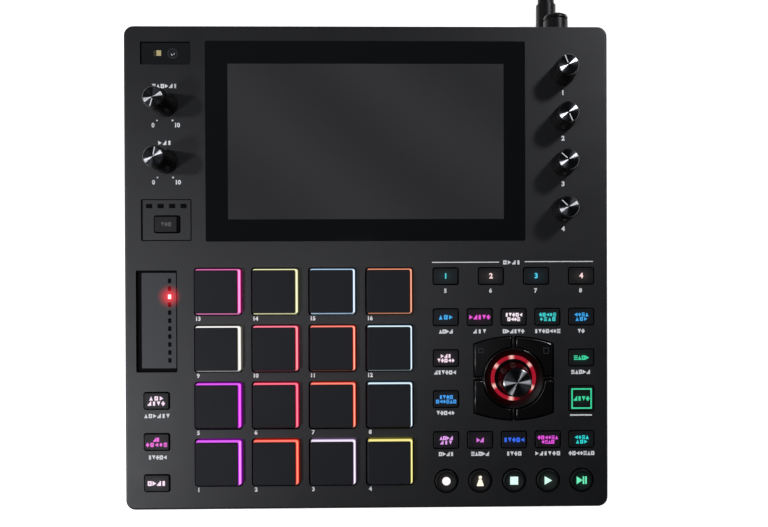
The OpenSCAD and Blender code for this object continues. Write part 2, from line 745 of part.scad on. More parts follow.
// The power switch stands on a small upright board behind its button
module power_switch() {
    back = rear - wall - socket_gap;
    face = rear - wall - button_back - button_stub - button_travel - stop_gap;
    translate([button_x - switch_board[0] / 2, back - socket_l - switch_board[1], main_z])
        cube([switch_board[0], switch_board[1], button_z - main_z + switch_w / 2]);
    translate([button_x - switch_w / 2, back - socket_l - e, button_z - switch_w / 2])
        cube([switch_w, face - back + socket_l + e, switch_w]);
}

module rear_sockets() color([0.1, 0.1, 0.1]) translate([0, shift_y, 0]) {
    for (i = [0:len(jack_points) - 1]) audio_socket(i, jack_body, jack_bore_r, jack_bore);
    for (i = [len(jack_points):len(socket_points) - 1])
        audio_socket(i, mini_body, mini_bore_r, mini_bore);
    usb_socket(usb_wide_x, usb_wide, usb_wide_tongue, usb_wide_rise);
    usb_socket(usb_square_x, usb_square, usb_square_tongue, 0);
    power_inlet();
    power_switch();
}

// Pads and keys

module pad_slice(w, z) {
    translate([0, 0, z - e]) linear_extrude(height = e) round_rect(w, w, pad_corner, $fn = 32);
}

module pad(i) color([0.16, 0.16, 0.17]) translate([pad_x(i - 1), pad_y(i - 1) + shift_y, 0]) {
    flange_top = under_z - flange_gap;
    translate([0, 0, flange_top - flange_t])
        slab(pad_open + 2 * flange, pad_open + 2 * flange, flange_t, pad_corner);
    foot = board_z + sensor_t + pad_travel + stop_gap;
    translate([0, 0, foot]) slab(plunger_w, plunger_w, flange_top - flange_t - foot + e, 1);
    hull() {
        pad_slice(pad_base, flange_top);
        pad_slice(pad_base, panel_z);
        pad_slice(pad_w, panel_z + pad_rise - 0.5);
        pad_slice(pad_w - 0.8, panel_z + pad_rise);
    }
}

// What every key has below its cap: a retaining flange and a stem over its switch
module key_foot(open_w, open_d) {
    flange_top = under_z - flange_gap;
    translate([0, 0, flange_top - flange_t])
        slab(open_w + 2 * flange, open_d + 2 * flange, flange_t, key_corner);
    key_stem();
}

module key_stem() {
    foot = board_z + dome_h + key_travel + stop_gap;
    translate([0, 0, foot])
        cylinder(r = stem_r, h = under_z - flange_gap - flange_t - foot + e);
}

module key(p, w, d) color([0.13, 0.13, 0.14]) at(p + [0, shift_y]) {
    key_foot(w + 2 * cap_gap, d + 2 * cap_gap);
    translate([0, 0, under_z - flange_gap - e])
        slab(w, d, panel_t + flange_gap + key_rise + e, key_corner);
}

module plain_key(p) { key(p, key_w, key_d); }

module transport_key(p) color([0.13, 0.13, 0.14]) at(p + [0, shift_y]) {
    top = panel_z + key_rise;
    translate([0, 0, under_z - flange_gap - flange_t])
        cylinder(r = transport_open + flange, h = flange_t);
    key_stem();
    translate([0, 0, under_z - flange_gap - e])
        cylinder(r = transport_r, h = top - under_z + flange_gap - 0.4 + e);
    translate([0, 0, top - 0.4]) cylinder(r1 = transport_r, r2 = transport_r - 0.8, h = 0.7);
}

module corner_keys() color([0.12, 0.12, 0.13]) translate([0, shift_y, 0]) {
    foot = under_z - flange_gap - flange_t;
    for (x = [-1, 1], y = [-1, 1]) at(dial_pos, foot) {
        linear_extrude(height = flange_t) plate_corner(x, y, cap_gap + flange, cap_gap);
        linear_extrude(height = panel_z + key_rise - foot) plate_corner(x, y, 0, cap_gap);
    }
    for (p = corner_stems) at(p) key_stem();
}

// Knobs and dial

// A cap that narrows upwards, with a chamfered rim and a blind hole for its shaft
module cap(r, taper, top, z0, shaft_top, line) {
    h = top - z0;
    difference() {
        rotate_extrude() polygon([[0, z0], [r, z0], [r, z0 + 0.8], [r - taper * 0.8, top - 0.7],
                                  [r - taper - 0.5, top], [0, top]]);
        translate([0, 0, z0 - 1])
            cylinder(r = shaft_r + shaft_fit, h = shaft_top - z0 + 1 + shaft_fit);
        if (line > 0) translate([-0.35, r - taper - 5, top - 0.4]) cube([0.7, line, 1]);
    }
}

module knob(p, turn) at(p + [0, shift_y]) {
    top = panel_z + knob_rise;
    shaft_top = top - cap_depth;
    color([0.08, 0.08, 0.08]) rotate([0, 0, turn])
        cap(knob_r, knob_taper, top, panel_z + knob_lift, shaft_top, 4.4);
    color([0.6, 0.6, 0.62]) translate([0, 0, board_z + shaft_foot])
        cylinder(r = shaft_r, h = shaft_top - board_z - shaft_foot);
}

module encoder_shaft() color([0.6, 0.6, 0.62]) at(dial_pos + [0, shift_y])
    translate([0, 0, board_z + shaft_foot + stop_gap])
        cylinder(r = shaft_r, h = panel_z + knob_rise - cap_depth - board_z - shaft_foot - stop_gap);

module dial_knob() color([0.08, 0.08, 0.08]) at(dial_pos + [0, shift_y])
    cap(dial_r, dial_taper, panel_z + knob_rise, panel_z - hub_drop + dial_gap,
        panel_z + knob_rise - cap_depth, 0);

module power_button() color([0.1, 0.1, 0.1]) translate([button_x, rear_y, button_z]) {
    translate([0, -wall - button_back, 0]) along_y(button_r, wall + button_back + button_rise / 2);
    translate([0, button_rise / 2 - e, 0]) along_y(button_r - 0.5, button_rise / 2 - 1 + e);
    translate([0, button_rise - 1 - e, 0]) rotate([-90, 0, 0])
        cylinder(r1 = button_r - 0.5, r2 = button_r - 1.4, h = 1 + e);
    translate([0, -wall - button_back - button_stub, 0]) along_y(stem_r, button_stub + e);
}

// Supply lead

module power_plug() color([0.06, 0.06, 0.06]) translate([inlet_x, rear_y, inlet_z])
    rotate([-90, 0, 0]) {
        rotate_extrude() polygon([[0, 0], [6.6, 0], [6.6, 3], [5.9, 12], [5.9, 22.3], [4.9, 22.6],
                                  [4.9, 30], [3.2, plug_l], [0, plug_l]]);
        color([0.7, 0.7, 0.7]) translate([0, 0, -barrel_l])
            tube(barrel_r, barrel_bore_r, barrel_l);
    }

function unit(v) = v / norm(v);
function along(path, i) = unit(path[min(i + 1, len(path) - 1)] - path[max(i - 1, 0)]);
// The rings stand square to the route, level with the floor on one side
function ring_points(path, i) =
    let (t = along(path, i), s = unit(cross(t, [0, 0, 1])), u = cross(s, t))
    [for (k = [0:cord_sides - 1]) let (a = 360 * (k + 0.5) / cord_sides)
        path[i] + cord_r * (cos(a) * s + sin(a) * u)];

module power_cord() color([0.06, 0.06, 0.06]) {
    n = cord_sides;
    rings = len(cord_route);
    points = [for (i = [0:rings - 1]) each ring_points(cord_route, i)];
    sides = [for (i = [0:rings - 2], k = [0:n - 1])
        [i * n + k, i * n + (k + 1) % n, (i + 1) * n + (k + 1) % n, (i + 1) * n + k]];
    polyhedron(points, concat([[for (k = [n - 1:-1:0]) k]], sides,
                              [[for (k = [0:n - 1]) (rings - 1) * n + k]]));
}

module cord_coil() color([0.06, 0.06, 0.06]) at(coil_pos)
    rotate_extrude() translate([coil_turns[0] - cord_r, 0])
        square([coil_turns[len(coil_turns) - 1] - coil_turns[0] + 2 * cord_r,
                2 * cord_r * coil_layers]);

module wall_adapter() at(adapter_pos) {
    exit = [adapter_size[0] / 2, coil_pos[1] + coil_turns[3] - adapter_pos[1], 3 * cord_r];
    color([0.07, 0.07, 0.07]) {
        soft_slab(adapter_size[0], adapter_size[1], adapter_size[2], 6, 3);
        translate(exit - [e, 0, 0]) rotate([0, 90, 0])
            cylinder(r1 = 4.6, r2 = 3, h = adapter_relief + e);
    }
    color([0.75, 0.7, 0.5]) for (y = [-1, 1])
        translate([-adapter_size[0] / 2 - 17, y * 6.35 - 0.75, adapter_size[2] / 2 - 3.2])
            cube([17, 1.5, 6.4]);
}

top_case();
bottom_case();
display_glass();
display_module();
touch_strip();
light_guides();
main_board();
panel_board();
rear_sockets();
feet();
screws();
power_cord();
cord_coil();
power_plug();
wall_adapter();
for (i = [1:16]) pad(i);
for (i = [0:4]) transport_key(transport_points[i]);
for (i = [1:4]) plain_key(bank_points[i - 1]);
for (i = [0:2]) plain_key(level_points[i]);
plain_key(link_pos);  // link_key
plain_key(tap_pos);  // tap_key
plain_key(repeat_pos);  // repeat_key
plain_key(menu_pos);  // menu_key
key(shift_pos, key_w, key_w);  // shift_key
for (p = mode_points) plain_key(p);  // mode_keys
for (p = edit_points) plain_key(p);  // edit_keys
corner_keys();
knob(master_pos, 164);  // master_knob
knob(rec_pos, -11);  // record_knob
for (i = [1:4]) knob(param_pos(i), [22, -157, 49, 47][i - 1]);
encoder_shaft();
dial_knob();
power_button();
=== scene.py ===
"""Dressed model of a tabletop drum machine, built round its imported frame.

Each sub-assembly is a class that holds its sizes in millimetres, builds its meshes and
dresses them. A mesh is scaled to metres when it is finished as a piece.
"""

from __future__ import annotations

import json
import logging
import math
from dataclasses import dataclass, field
from enum import Enum
from typing import Callable, Sequence

import bmesh
import bpy
from bmesh.types import BMFace, BMVert, BMesh
from bpy.types import Node, NodeSocket, NodeTree, Scene
from mathutils import Matrix, Vector

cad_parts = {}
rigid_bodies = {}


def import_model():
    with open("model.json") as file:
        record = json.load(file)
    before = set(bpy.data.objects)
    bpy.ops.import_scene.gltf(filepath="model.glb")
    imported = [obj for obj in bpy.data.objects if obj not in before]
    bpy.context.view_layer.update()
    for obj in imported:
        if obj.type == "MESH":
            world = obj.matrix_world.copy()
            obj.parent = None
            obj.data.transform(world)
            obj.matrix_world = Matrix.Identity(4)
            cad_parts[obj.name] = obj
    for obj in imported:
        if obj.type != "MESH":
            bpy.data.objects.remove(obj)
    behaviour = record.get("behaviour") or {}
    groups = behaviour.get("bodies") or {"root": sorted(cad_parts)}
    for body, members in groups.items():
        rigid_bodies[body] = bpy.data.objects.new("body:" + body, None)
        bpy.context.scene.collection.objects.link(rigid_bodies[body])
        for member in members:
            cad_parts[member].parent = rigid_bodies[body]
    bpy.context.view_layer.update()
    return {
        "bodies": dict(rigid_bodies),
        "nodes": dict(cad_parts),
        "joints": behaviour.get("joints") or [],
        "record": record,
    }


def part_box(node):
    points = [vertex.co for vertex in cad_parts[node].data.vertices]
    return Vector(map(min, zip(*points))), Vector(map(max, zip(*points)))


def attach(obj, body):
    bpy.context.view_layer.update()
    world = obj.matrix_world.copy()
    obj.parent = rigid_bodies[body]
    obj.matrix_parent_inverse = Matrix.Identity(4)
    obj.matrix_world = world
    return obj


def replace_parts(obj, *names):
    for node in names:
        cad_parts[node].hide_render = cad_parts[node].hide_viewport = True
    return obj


LOG = logging.getLogger("drum_machine")
METRE = 0.001
PANEL = 39.0
CAP_TOP = 39.7
STEM_FOOT = 31.1
STEM_RADIUS = 2.0
FLANGE_FOOT = 33.0
FLANGE_TOP = 35.8
FLANGE_THICK = 2.8
FLANGE_RIM = 2.9

Point = tuple[float, float]
Place = tuple[float, float, float]
Colour = tuple[float, float, float, float]
Solids = list[tuple[BMesh, Point]]

BLACK: Colour = (0.0, 0.0, 0.0, 1.0)


def srgb(code: str) -> Colour:
    """Turn an sRGB colour into linear values.

    Args:
        code: The colour as #rrggbb.

    Returns:
        Red, green, blue and an alpha of one.
    """
    parts = [int(code[i : i + 2], 16) / 255 for i in (1, 3, 5)]
    linear = [v / 12.92 if v <= 0.04045 else ((v + 0.055) / 1.055) ** 2.4 for v in parts]
    return (linear[0], linear[1], linear[2], 1.0)


def set_up(node: Node, settings: dict | None = None, links: dict | None = None) -> Node:
    """Set a node's values and link its inputs.

    Args:
        node: The node.
        settings: Values for properties or inputs, by name or number.
        links: What feeds the inputs, by name or number: a socket, or a node whose first output in use does.

    Returns:
        The node.
    """
    for key, value in (settings or {}).items():
        if isinstance(key, str) and key in node.bl_rna.properties:
            setattr(node, key, value)
        else:
            node.inputs[key].default_value = value
    for key, source in (links or {}).items():
        if isinstance(source, Node):
            source = next(socket for socket in source.outputs if socket.enabled)
        node.id_data.links.new(source, node.inputs[key])
    return node


def add_node(tree: NodeTree, kind: str, settings: dict | None = None, links: dict | None = None) -> Node:
    """Add one shader node, set it up and link its inputs.

    Args:
        tree: The node tree.
        kind: The node's type, without ShaderNode.
        settings: Values for properties or inputs, by name or number.
        links: What feeds its inputs, by name or number.

    Returns:
        The node.
    """
    return set_up(tree.nodes.new("ShaderNode" + kind), settings, links)


def fill_ramp(ramp: Node, stops: Sequence[tuple[float, Colour]]) -> None:
    """Set a colour ramp's stops.

    Args:
        ramp: The colour ramp.
        stops: Position and colour of each stop, in order.
    """
    elements = ramp.color_ramp.elements
    for k, (position, colour) in enumerate((stops[0], stops[-1])):
        elements[k].position = position
        elements[k].color = colour
    for position, colour in stops[1:-1]:
        elements.new(position).color = colour


# Finishes


@dataclass(frozen=True)
class Halo:
    """A lamp's glow, painted as emission on the surfaces round it, in millimetres."""

    tint: str
    centre: Place
    reach: Place
    strength: float


@dataclass(frozen=True)
class Finish:
    """A surface finish: one material with its node tree."""

    name: str
    colour: str
    roughness: float = 0.5
    ior: float = 1.5
    metallic: float = 0.0
    reflect: float = 0.5

    def material(self) -> bpy.types.Material:
        """Return the finish's material, made on first use."""
        made = bpy.data.materials.get(self.name)
        if made is not None:
            return made
        made = bpy.data.materials.new(self.name)
        made.use_nodes = True
        tree = made.node_tree
        values = {
            "Base Color": srgb(self.colour), "Roughness": self.roughness, "IOR": self.ior,
            "Metallic": self.metallic, "Specular IOR Level": self.reflect,
        }  # fmt: skip
        shader = set_up(tree.nodes["Principled BSDF"], values)
        self.detail(tree, shader, add_node(tree, "TexCoord").outputs["Object"])
        return made

    def detail(self, tree: NodeTree, shader: Node, place: NodeSocket) -> None:
        """Add the finish's own patterns to its shader.

        Args:
            tree: The node tree.
            shader: The principled shader.
            place: Object coordinates.
        """

    def vary(self, tree: NodeTree, place: NodeSocket, spread_mm: float, amount: float) -> Node:
        """Let the tone drift slowly over the surface.

        Args:
            tree: The node tree.
            place: Object coordinates.
            spread_mm: Size of the light and dark patches.
            amount: Share by which the tone changes.

        Returns:
            The varied colour.
        """
        slow = {"Scale": 1 / (spread_mm * METRE), "Detail": 3.0}
        cloud = add_node(tree, "TexNoise", slow, {"Vector": place})
        span = {"From Min": 0.3, "From Max": 0.7, "To Min": 1 - amount, "To Max": 1 + amount}
        tone = add_node(tree, "MapRange", span, {"Value": cloud})
        shade = {"data_type": "RGBA", "blend_type": "MULTIPLY", 0: 1.0, 6: srgb(self.colour)}
        return add_node(tree, "Mix", shade, {7: tone})

    @staticmethod
    def grain(
        tree: NodeTree, place: NodeSocket, size_mm: float, depth_mm: float, strength: float = 1.0
    ) -> Node:
        """Give the surface a fine moulded or blasted grain.

        Args:
            tree: The node tree.
            place: Object coordinates.
            size_mm: Size of the grains.
            depth_mm: Height of the grains.
            strength: Strength of the bump.

        Returns:
            The roughened normal.
        """
        fine = {"Scale": 1 / (size_mm * METRE), "Detail": 2.0, "Roughness": 0.6}
        grit = add_node(tree, "TexNoise", fine, {"Vector": place})
        return add_node(tree, "Bump", {"Strength": strength, "Distance": depth_mm * METRE}, {"Height": grit})


@dataclass(frozen=True)
class Moulding(Finish):
    """Injection-moulded plastic with an etched grain, a little darker where hands polish it, and the glow of
    a lamp close by painted on it where one is given.
    """

    grain_mm: float = 0.7
    depth_mm: float = 0.03
    drift: float = 0.06
    lamp: Halo | None = None
    patch_mm: float = 45.0
    wear_mm: float = 18.0
    polish: float = 0.07

    def detail(self, tree: NodeTree, shader: Node, place: NodeSocket) -> None:
        """Add slow tone drift, grain, uneven polish and the painted glow of a lamp close by.

        Args:
            tree: The node tree.
            shader: The principled shader.
            place: Object coordinates.
        """
        rubbed = {"Scale": 1 / (self.wear_mm * METRE), "Detail": 4.0}
        wear = add_node(tree, "TexNoise", rubbed, {"Vector": place})
        span = {"To Min": self.roughness - self.polish, "To Max": self.roughness + self.polish}
        links = {
            "Base Color": self.vary(tree, place, self.patch_mm, self.drift),
            "Normal": self.grain(tree, place, self.grain_mm, self.depth_mm),
            "Roughness": add_node(tree, "MapRange", span, {"Value": wear}),
        }
        set_up(shader, links=links)
        # A lamp close by lends its glow here, painted as emission.
        if self.lamp is not None:
            tint = self.halo(tree, place, self.lamp)
            set_up(shader, {"Emission Strength": self.lamp.strength}, {"Emission Color": tint})

    @staticmethod
    def halo(tree: NodeTree, place: NodeSocket, light: Halo) -> Node:
        """Paint the glow of a lamp close by on the surface round it.

        Args:
            tree: The node tree.
            place: Object coordinates.
            light: The lamp's halo.

        Returns:
            The painted glow's colour.
        """
        span = {
            "vector_type": "TEXTURE",
            "Location": [v * METRE for v in light.centre],
            "Scale": [v * METRE for v in light.reach],
        }
        moved = add_node(tree, "Mapping", span, {"Vector": place})
        ball = add_node(tree, "TexGradient", {"gradient_type": "QUADRATIC_SPHERE"}, {"Vector": moved})
        return add_node(
            tree, "Mix", {"data_type": "RGBA", 6: BLACK, 7: srgb(light.tint)}, {0: ball.outputs["Fac"]}
        )


@dataclass(frozen=True)
class Printed(Finish):
    """Screen-printed ink, slightly uneven in its cover."""

    def detail(self, tree: NodeTree, shader: Node, place: NodeSocket) -> None:
        """Add thin patches in the ink."""
        set_up(shader, links={"Base Color": self.vary(tree, place, 1.5, 0.06)})


@dataclass(frozen=True)
class Lit(Finish):
    """A lit legend or lamp: light-diffusing plastic with a light behind it."""

    strength: float = 1.0
    uneven: float = 0.12
    unlit: str = "#1c1c1e"

    def detail(self, tree: NodeTree, shader: Node, place: NodeSocket) -> None:
        """Add the light, a little uneven over the lens.

        Args:
            tree: The node tree.
            shader: The principled shader.
            place: Object coordinates.
        """
        glow = self.vary(tree, place, 2.5, self.uneven)
        values = {"Base Color": srgb(self.unlit), "Emission Strength": self.strength}
        set_up(shader, values, {"Emission Color": glow})


@dataclass(frozen=True)
class LitSkirt(Finish):
    """The clear silicone skirt of a pad: a pale line of light between two deeper ones, dimmed by painted
    shade towards its front and left ends.
    """

    edge: str = "#ffffff"
    strength: float = 1.0
    low_mm: float = 38.9
    high_mm: float = 42.6
    centre: Point = (0.0, 0.0)
    reach_mm: float = 12.6
    fade_mm: float = 1.5
    dim: float = 0.15
    unlit: str = "#1c1c1e"

    def detail(self, tree: NodeTree, shader: Node, place: NodeSocket) -> None:
        """Add the light, graded by height and dimmed by painted shade towards the front left.

        Args:
            tree: The node tree.
            shader: The principled shader.
            place: Object coordinates.
        """
        parts = add_node(tree, "SeparateXYZ", {}, {"Vector": place})
        span = {"From Min": self.low_mm * METRE, "From Max": self.high_mm * METRE}
        level = add_node(tree, "MapRange", span, {"Value": parts.outputs["Z"]})
        ramp = add_node(tree, "ValToRGB", {}, {"Fac": level})
        stops = (
            (0.0, self.edge, 0.3), (0.14, self.edge, 1.4), (0.3, self.colour, 1.1), (0.72, self.colour, 1.1),
            (0.88, self.edge, 1.4), (1.0, self.edge, 0.7),
        )  # fmt: skip
        fill_ramp(ramp, [(position, self.dimmed(code, gain)) for position, code, gain in stops])
        ends = []
        for middle, axis in zip(self.centre, "XY"):
            start = middle - self.reach_mm
            fade = {
                "interpolation_type": "SMOOTHSTEP",
                "From Min": start * METRE,
                "From Max": (start + self.fade_mm) * METRE,
                "To Min": self.dim,
            }
            ends.append(add_node(tree, "MapRange", fade, {"Value": parts.outputs[axis]}))
        share = add_node(tree, "Math", {"operation": "MULTIPLY"}, {0: ends[0], 1: ends[1]})
        faded = add_node(tree, "Mix", {"data_type": "RGBA", 6: BLACK}, {0: share, 7: ramp})
        values = {"Base Color": srgb(self.unlit), "Emission Strength": self.strength}
        set_up(shader, values, {"Emission Color": faded})

    @staticmethod
    def dimmed(code: str, gain: float) -> Colour:
        """Return a colour made darker or lighter by a factor."""
        tint = srgb(code)
        return (tint[0] * gain, tint[1] * gain, tint[2] * gain, 1.0)


@dataclass(frozen=True)
class Turned(Finish):
    """Turned and blackened metal: its fine rings spread the gloss, and bright wedges are painted into its
    colour as highlights.
    """

    pull: float = 0.9
    deep: str = "#38393c"
    wedges: Point = (30.0, 30.0)
    half: float = 17.0

    def detail(self, tree: NodeTree, shader: Node, place: NodeSocket) -> None:
        """Spread the gloss across the rings, which follow the piece's own map, and paint bright highlight
        wedges into the base colour.

        Args:
            tree: The node tree.
            shader: The principled shader.
            place: Object coordinates.
        """
        rings = add_node(tree, "Tangent", {"direction_type": "UV_MAP", "uv_map": "rings"})
        ring_place = add_node(tree, "UVMap", {"uv_map": "rings"})
        parts = add_node(tree, "SeparateXYZ", {}, {"Vector": ring_place})
        # The wedges are painted highlights of the given half width: bright colour within them, the deep tone
        # outside.
        span = {
            "interpolation_type": "SMOOTHSTEP",
            "From Min": 0.4 * self.half / 360,
            "From Max": self.half / 360,
            "To Min": 1.0,
            "To Max": 0.0,
        }
        painted_wedge_shares = []
        for angle in self.wedges:
            turn = {"operation": "SUBTRACT", 1: angle / 360 - 2.0}
            moved = add_node(tree, "Math", turn, {0: parts.outputs["Y"]})
            away = add_node(tree, "Math", {"operation": "PINGPONG", 1: 0.25}, {0: moved})
            painted_wedge_shares.append(add_node(tree, "MapRange", span, {"Value": away}))
        most = add_node(tree, "Math", {"operation": "MAXIMUM"}, {0: painted_wedge_shares[0], 1: painted_wedge_shares[1]})
        tone = self.vary(tree, place, 2.0, 0.05)
        mixed = add_node(tree, "Mix", {"data_type": "RGBA", 6: srgb(self.deep)}, {0: most, 7: tone})
        set_up(shader, {"Anisotropic": self.pull}, {"Tangent": rings, "Base Color": mixed})


@dataclass(frozen=True)
class Brushed(Finish):
    """Plated or ground steel with a fine uneven polish."""

    def detail(self, tree: NodeTree, shader: Node, place: NodeSocket) -> None:
        """Add fine scratches and an uneven polish.

        Args:
            tree: The node tree.
            shader: The principled shader.
            place: Object coordinates.
        """
        tone = self.vary(tree, place, 4.0, 0.08)
        set_up(shader, links={"Base Color": tone, "Normal": self.grain(tree, place, 0.4, 0.01, 0.6)})


@dataclass(frozen=True)
class RingLight(Finish):
    """The dial's ring: a clear red light guide with six hot spots over its lamps."""

    centre: Point = (82.5, -67.8)
    strength: float = 1.0
    hot: str = "#ffc4bc"
    dark: str = "#1c0204"
    unlit: str = "#2c0407"
    spots: tuple[float, ...] = (95.5, 39.5, 333.0, 263.0, 202.0, 145.0)
    dark_span: Point = (288.0, 314.0)

    def detail(self, tree: NodeTree, shader: Node, place: NodeSocket) -> None:
        """Add the light, graded round the ring.

        Args:
            tree: The node tree.
            shader: The principled shader.
            place: Object coordinates.
        """
        home = {"Location": (-self.centre[0] * METRE, -self.centre[1] * METRE, 0.0)}
        moved = add_node(tree, "Mapping", home, {"Vector": place})
        turn = add_node(tree, "TexGradient", {"gradient_type": "RADIAL"}, {"Vector": moved})
        ramp = add_node(tree, "ValToRGB", {}, {"Fac": turn.outputs["Fac"]})
        stops = [(self.ramp_place(angle), srgb(self.dark)) for angle in self.dark_span]
        spot = ((-0.026, self.colour), (-0.002, self.hot), (0.002, self.hot), (0.026, self.colour))
        for angle in self.spots:
            for offset, code in spot:
                stops.append(((self.ramp_place(angle) + offset) % 1.0, srgb(code)))
        fill_ramp(ramp, sorted(stops))
        values = {"Base Color": srgb(self.unlit), "Emission Strength": self.strength}
        set_up(shader, values, {"Emission Color": ramp})

    @staticmethod
    def ramp_place(angle: float) -> float:
        """Return where an angle from +X, counter-clockwise, lies along the ramp."""
        return (angle / 360.0 + 0.5) % 1.0


@dataclass(frozen=True)
class CoverGlass(Finish):
    """Black-printed cover glass; the display behind its clear field shows as dark grey."""

    field_low: Point = (-77.8, 22.3)
    field_high: Point = (77.2, 109.6)
    field_colour: str = "#3e3e3e"

    def detail(self, tree: NodeTree, shader: Node, place: NodeSocket) -> None:
        """Mark off the clear field and let faint bands cross it.

        Args:
            tree: The node tree.
            shader: The principled shader.
            place: Object coordinates.
        """
        centre = [(a + b) / 2 * METRE for a, b in zip(self.field_low, self.field_high)]
        half = [(b - a) / 2 * METRE for a, b in zip(self.field_low, self.field_high)]
        span = {"vector_type": "TEXTURE", "Location": (*centre, 0.0), "Scale": (*half, 1.0)}
        moved = add_node(tree, "Mapping", span, {"Vector": place})
        size = add_node(tree, "VectorMath", {"operation": "ABSOLUTE"}, {0: moved})
        parts = add_node(tree, "SeparateXYZ", {}, {"Vector": size}).outputs
        widest = add_node(tree, "Math", {"operation": "MAXIMUM"}, {0: parts["X"], 1: parts["Y"]})
        inside = add_node(tree, "Math", {"operation": "LESS_THAN", 1: 1.0}, {0: widest})
        wave = {"bands_direction": "DIAGONAL", "Scale": 6.0, "Distortion": 2.5, "Detail": 1.0}
        bands = add_node(tree, "TexWave", wave, {"Vector": place})
        tone = add_node(tree, "MapRange", {"To Min": 0.86, "To Max": 1.12}, {"Value": bands.outputs["Fac"]})
        shade = {"data_type": "RGBA", "blend_type": "MULTIPLY", 0: 1.0, 6: srgb(self.field_colour)}
        lit = add_node(tree, "Mix", shade, {7: tone})
        mixed = add_node(tree, "Mix", {"data_type": "RGBA", 6: srgb(self.colour)}, {0: inside, 7: lit})
        set_up(shader, links={"Base Color": mixed})


@dataclass(frozen=True)
class SolderMask(Finish):
    """Green solder mask over copper tracks, with tinned pads."""

    def detail(self, tree: NodeTree, shader: Node, place: NodeSocket) -> None:
        """Draw the tracks as a lighter green net and the pads as tin dots.

        Args:
            tree: The node tree.
            shader: The principled shader.
            place: Object coordinates.
        """
        net = {
            "Scale": 1 / (14 * METRE), "Color1": srgb(self.colour), "Color2": srgb("#0c4a26"),
            "Mortar": srgb("#1f7a45"), "Mortar Size": 0.03,
        }  # fmt: skip
        tracks = add_node(tree, "TexBrick", net, {"Vector": place})
        dots = add_node(tree, "TexVoronoi", {"Scale": 1 / (5 * METRE)}, {"Vector": place})
        tinned = add_node(tree, "Math", {"operation": "LESS_THAN", 1: 0.16}, {0: dots})
        mixed = add_node(tree, "Mix", {"data_type": "RGBA", 7: srgb("#b9bcb8")}, {0: tinned, 6: tracks})
        set_up(shader, links={"Base Color": mixed})


# Glow of the lit level lamp, painted as emission on the panel, the touch plate and the matt black round it.
LEVEL_LAMP_PAINTED_GLOW = Halo("#ff1028", (-111.1, -20.9, 38.0), (7.8, 7.8, 7.8), 1.3)
# Red glow of the ring light, painted as emission on the dish.
RING_PAINTED_GLOW = Halo("#c01020", (82.5, -67.8, 37.0), (18.0, 18.0, 12.0), 0.35)
# Black ABS with an etched grain, which dulls it. The real grain is 0.2 mm; it is drawn at 0.7 mm to show.
# The panel carries the lit level lamp's painted glow.
PANEL_ABS = Moulding("abs_panel_etched", "#060709", 0.48, reflect=0.65, lamp=LEVEL_LAMP_PAINTED_GLOW)
BASE_ABS = Moulding("abs_base_etched", "#18191b", 0.62, reflect=0.3)
SOCKET_PBT = Moulding("pbt_sockets", "#161617", 0.5, reflect=0.3, grain_mm=0.5, depth_mm=0.01)
ADAPTER_ABS = Moulding("abs_adapter", "#1a1a1b", 0.45, reflect=0.4, grain_mm=0.6, depth_mm=0.015)
# Flexible and rigid PVC from smooth moulds: a soft sheen without grain.
PLUG_PVC = Moulding("pvc_plug_moulded", "#0c0c0d", 0.42, reflect=0.3, grain_mm=0.5, depth_mm=0.012)
CORD_PVC = Moulding("pvc_sheath", "#101011", 0.42, reflect=0.3, grain_mm=0.8, depth_mm=0.01)
BUTTON_ABS = Moulding("abs_button", "#0c0c0d", 0.36, reflect=0.3, grain_mm=0.5, depth_mm=0.01)
FOOT_RUBBER = Moulding("rubber_feet", "#141414", 0.8, grain_mm=0.8, depth_mm=0.03)
# Silicone with a matt black print over its top: no gloss, only a faint tooth.
PAD_SILICONE = Moulding(
    "silicone_pad_matt", "#1a1b1f", 0.6, reflect=0.25, grain_mm=0.6, depth_mm=0.015, drift=0.04
)
# Dark silicone for the inner flange, also laid on the pads' left and front flanks as painted shade.
SKIRT_DARK = Moulding("silicone_skirt_dark_painted_shade", "#1e1c22", 0.5, reflect=0.3, grain_mm=0.5, depth_mm=0.01)
# Smoked and satin ABS key caps: dark, with a soft highlight along their edges.
KEY_ABS = Moulding("abs_key_smoked", "#08080a", 0.6, reflect=0.15, grain_mm=0.6, depth_mm=0.012)
LINK_ABS = Moulding("abs_key_satin_grey", "#151517", 0.5, reflect=0.3, grain_mm=0.6, depth_mm=0.012)
# Polished ABS: mirror-black, its surface waving slowly over some 9 mm.
GLOSS_ABS = Moulding("abs_gloss_black", "#050506", 0.2, reflect=1.0, grain_mm=9.0, depth_mm=0.004, drift=0.02)
BEAD_ABS = Moulding("abs_gloss_bead", "#0a0a0b", 0.17, reflect=1.0, grain_mm=9.0, depth_mm=0.004, drift=0.02)
# The dish carries the ring light's painted glow.
DISH_ABS = Moulding(
    "abs_dish_gloss", "#040405", 0.3, reflect=0.15, grain_mm=9.0, depth_mm=0.004, drift=0.02, lamp=RING_PAINTED_GLOW
)
# Matt black, with the lit level lamp's glow painted on it; it is also laid as painted shade in the recess
# round the touch plate, in the groove round the link key and along the link key's right edge.
MATT_BLACK = Moulding(
    "abs_matt_black", "#030304", 0.75, reflect=0.1, grain_mm=0.6, depth_mm=0.01, drift=0.05, lamp=LEVEL_LAMP_PAINTED_GLOW
)
DIAL_ABS = Moulding(
    "abs_dial_polished", "#040405", 0.2, ior=1.12, reflect=0.12, grain_mm=9.0, depth_mm=0.004, drift=0.02
)
# Soft-touch lacquer over ABS: near black, with one broad highlight.
KNOB_ABS = Moulding("soft_touch_knob_sides", "#060607", 0.3, reflect=0.6, grain_mm=0.5, depth_mm=0.01)
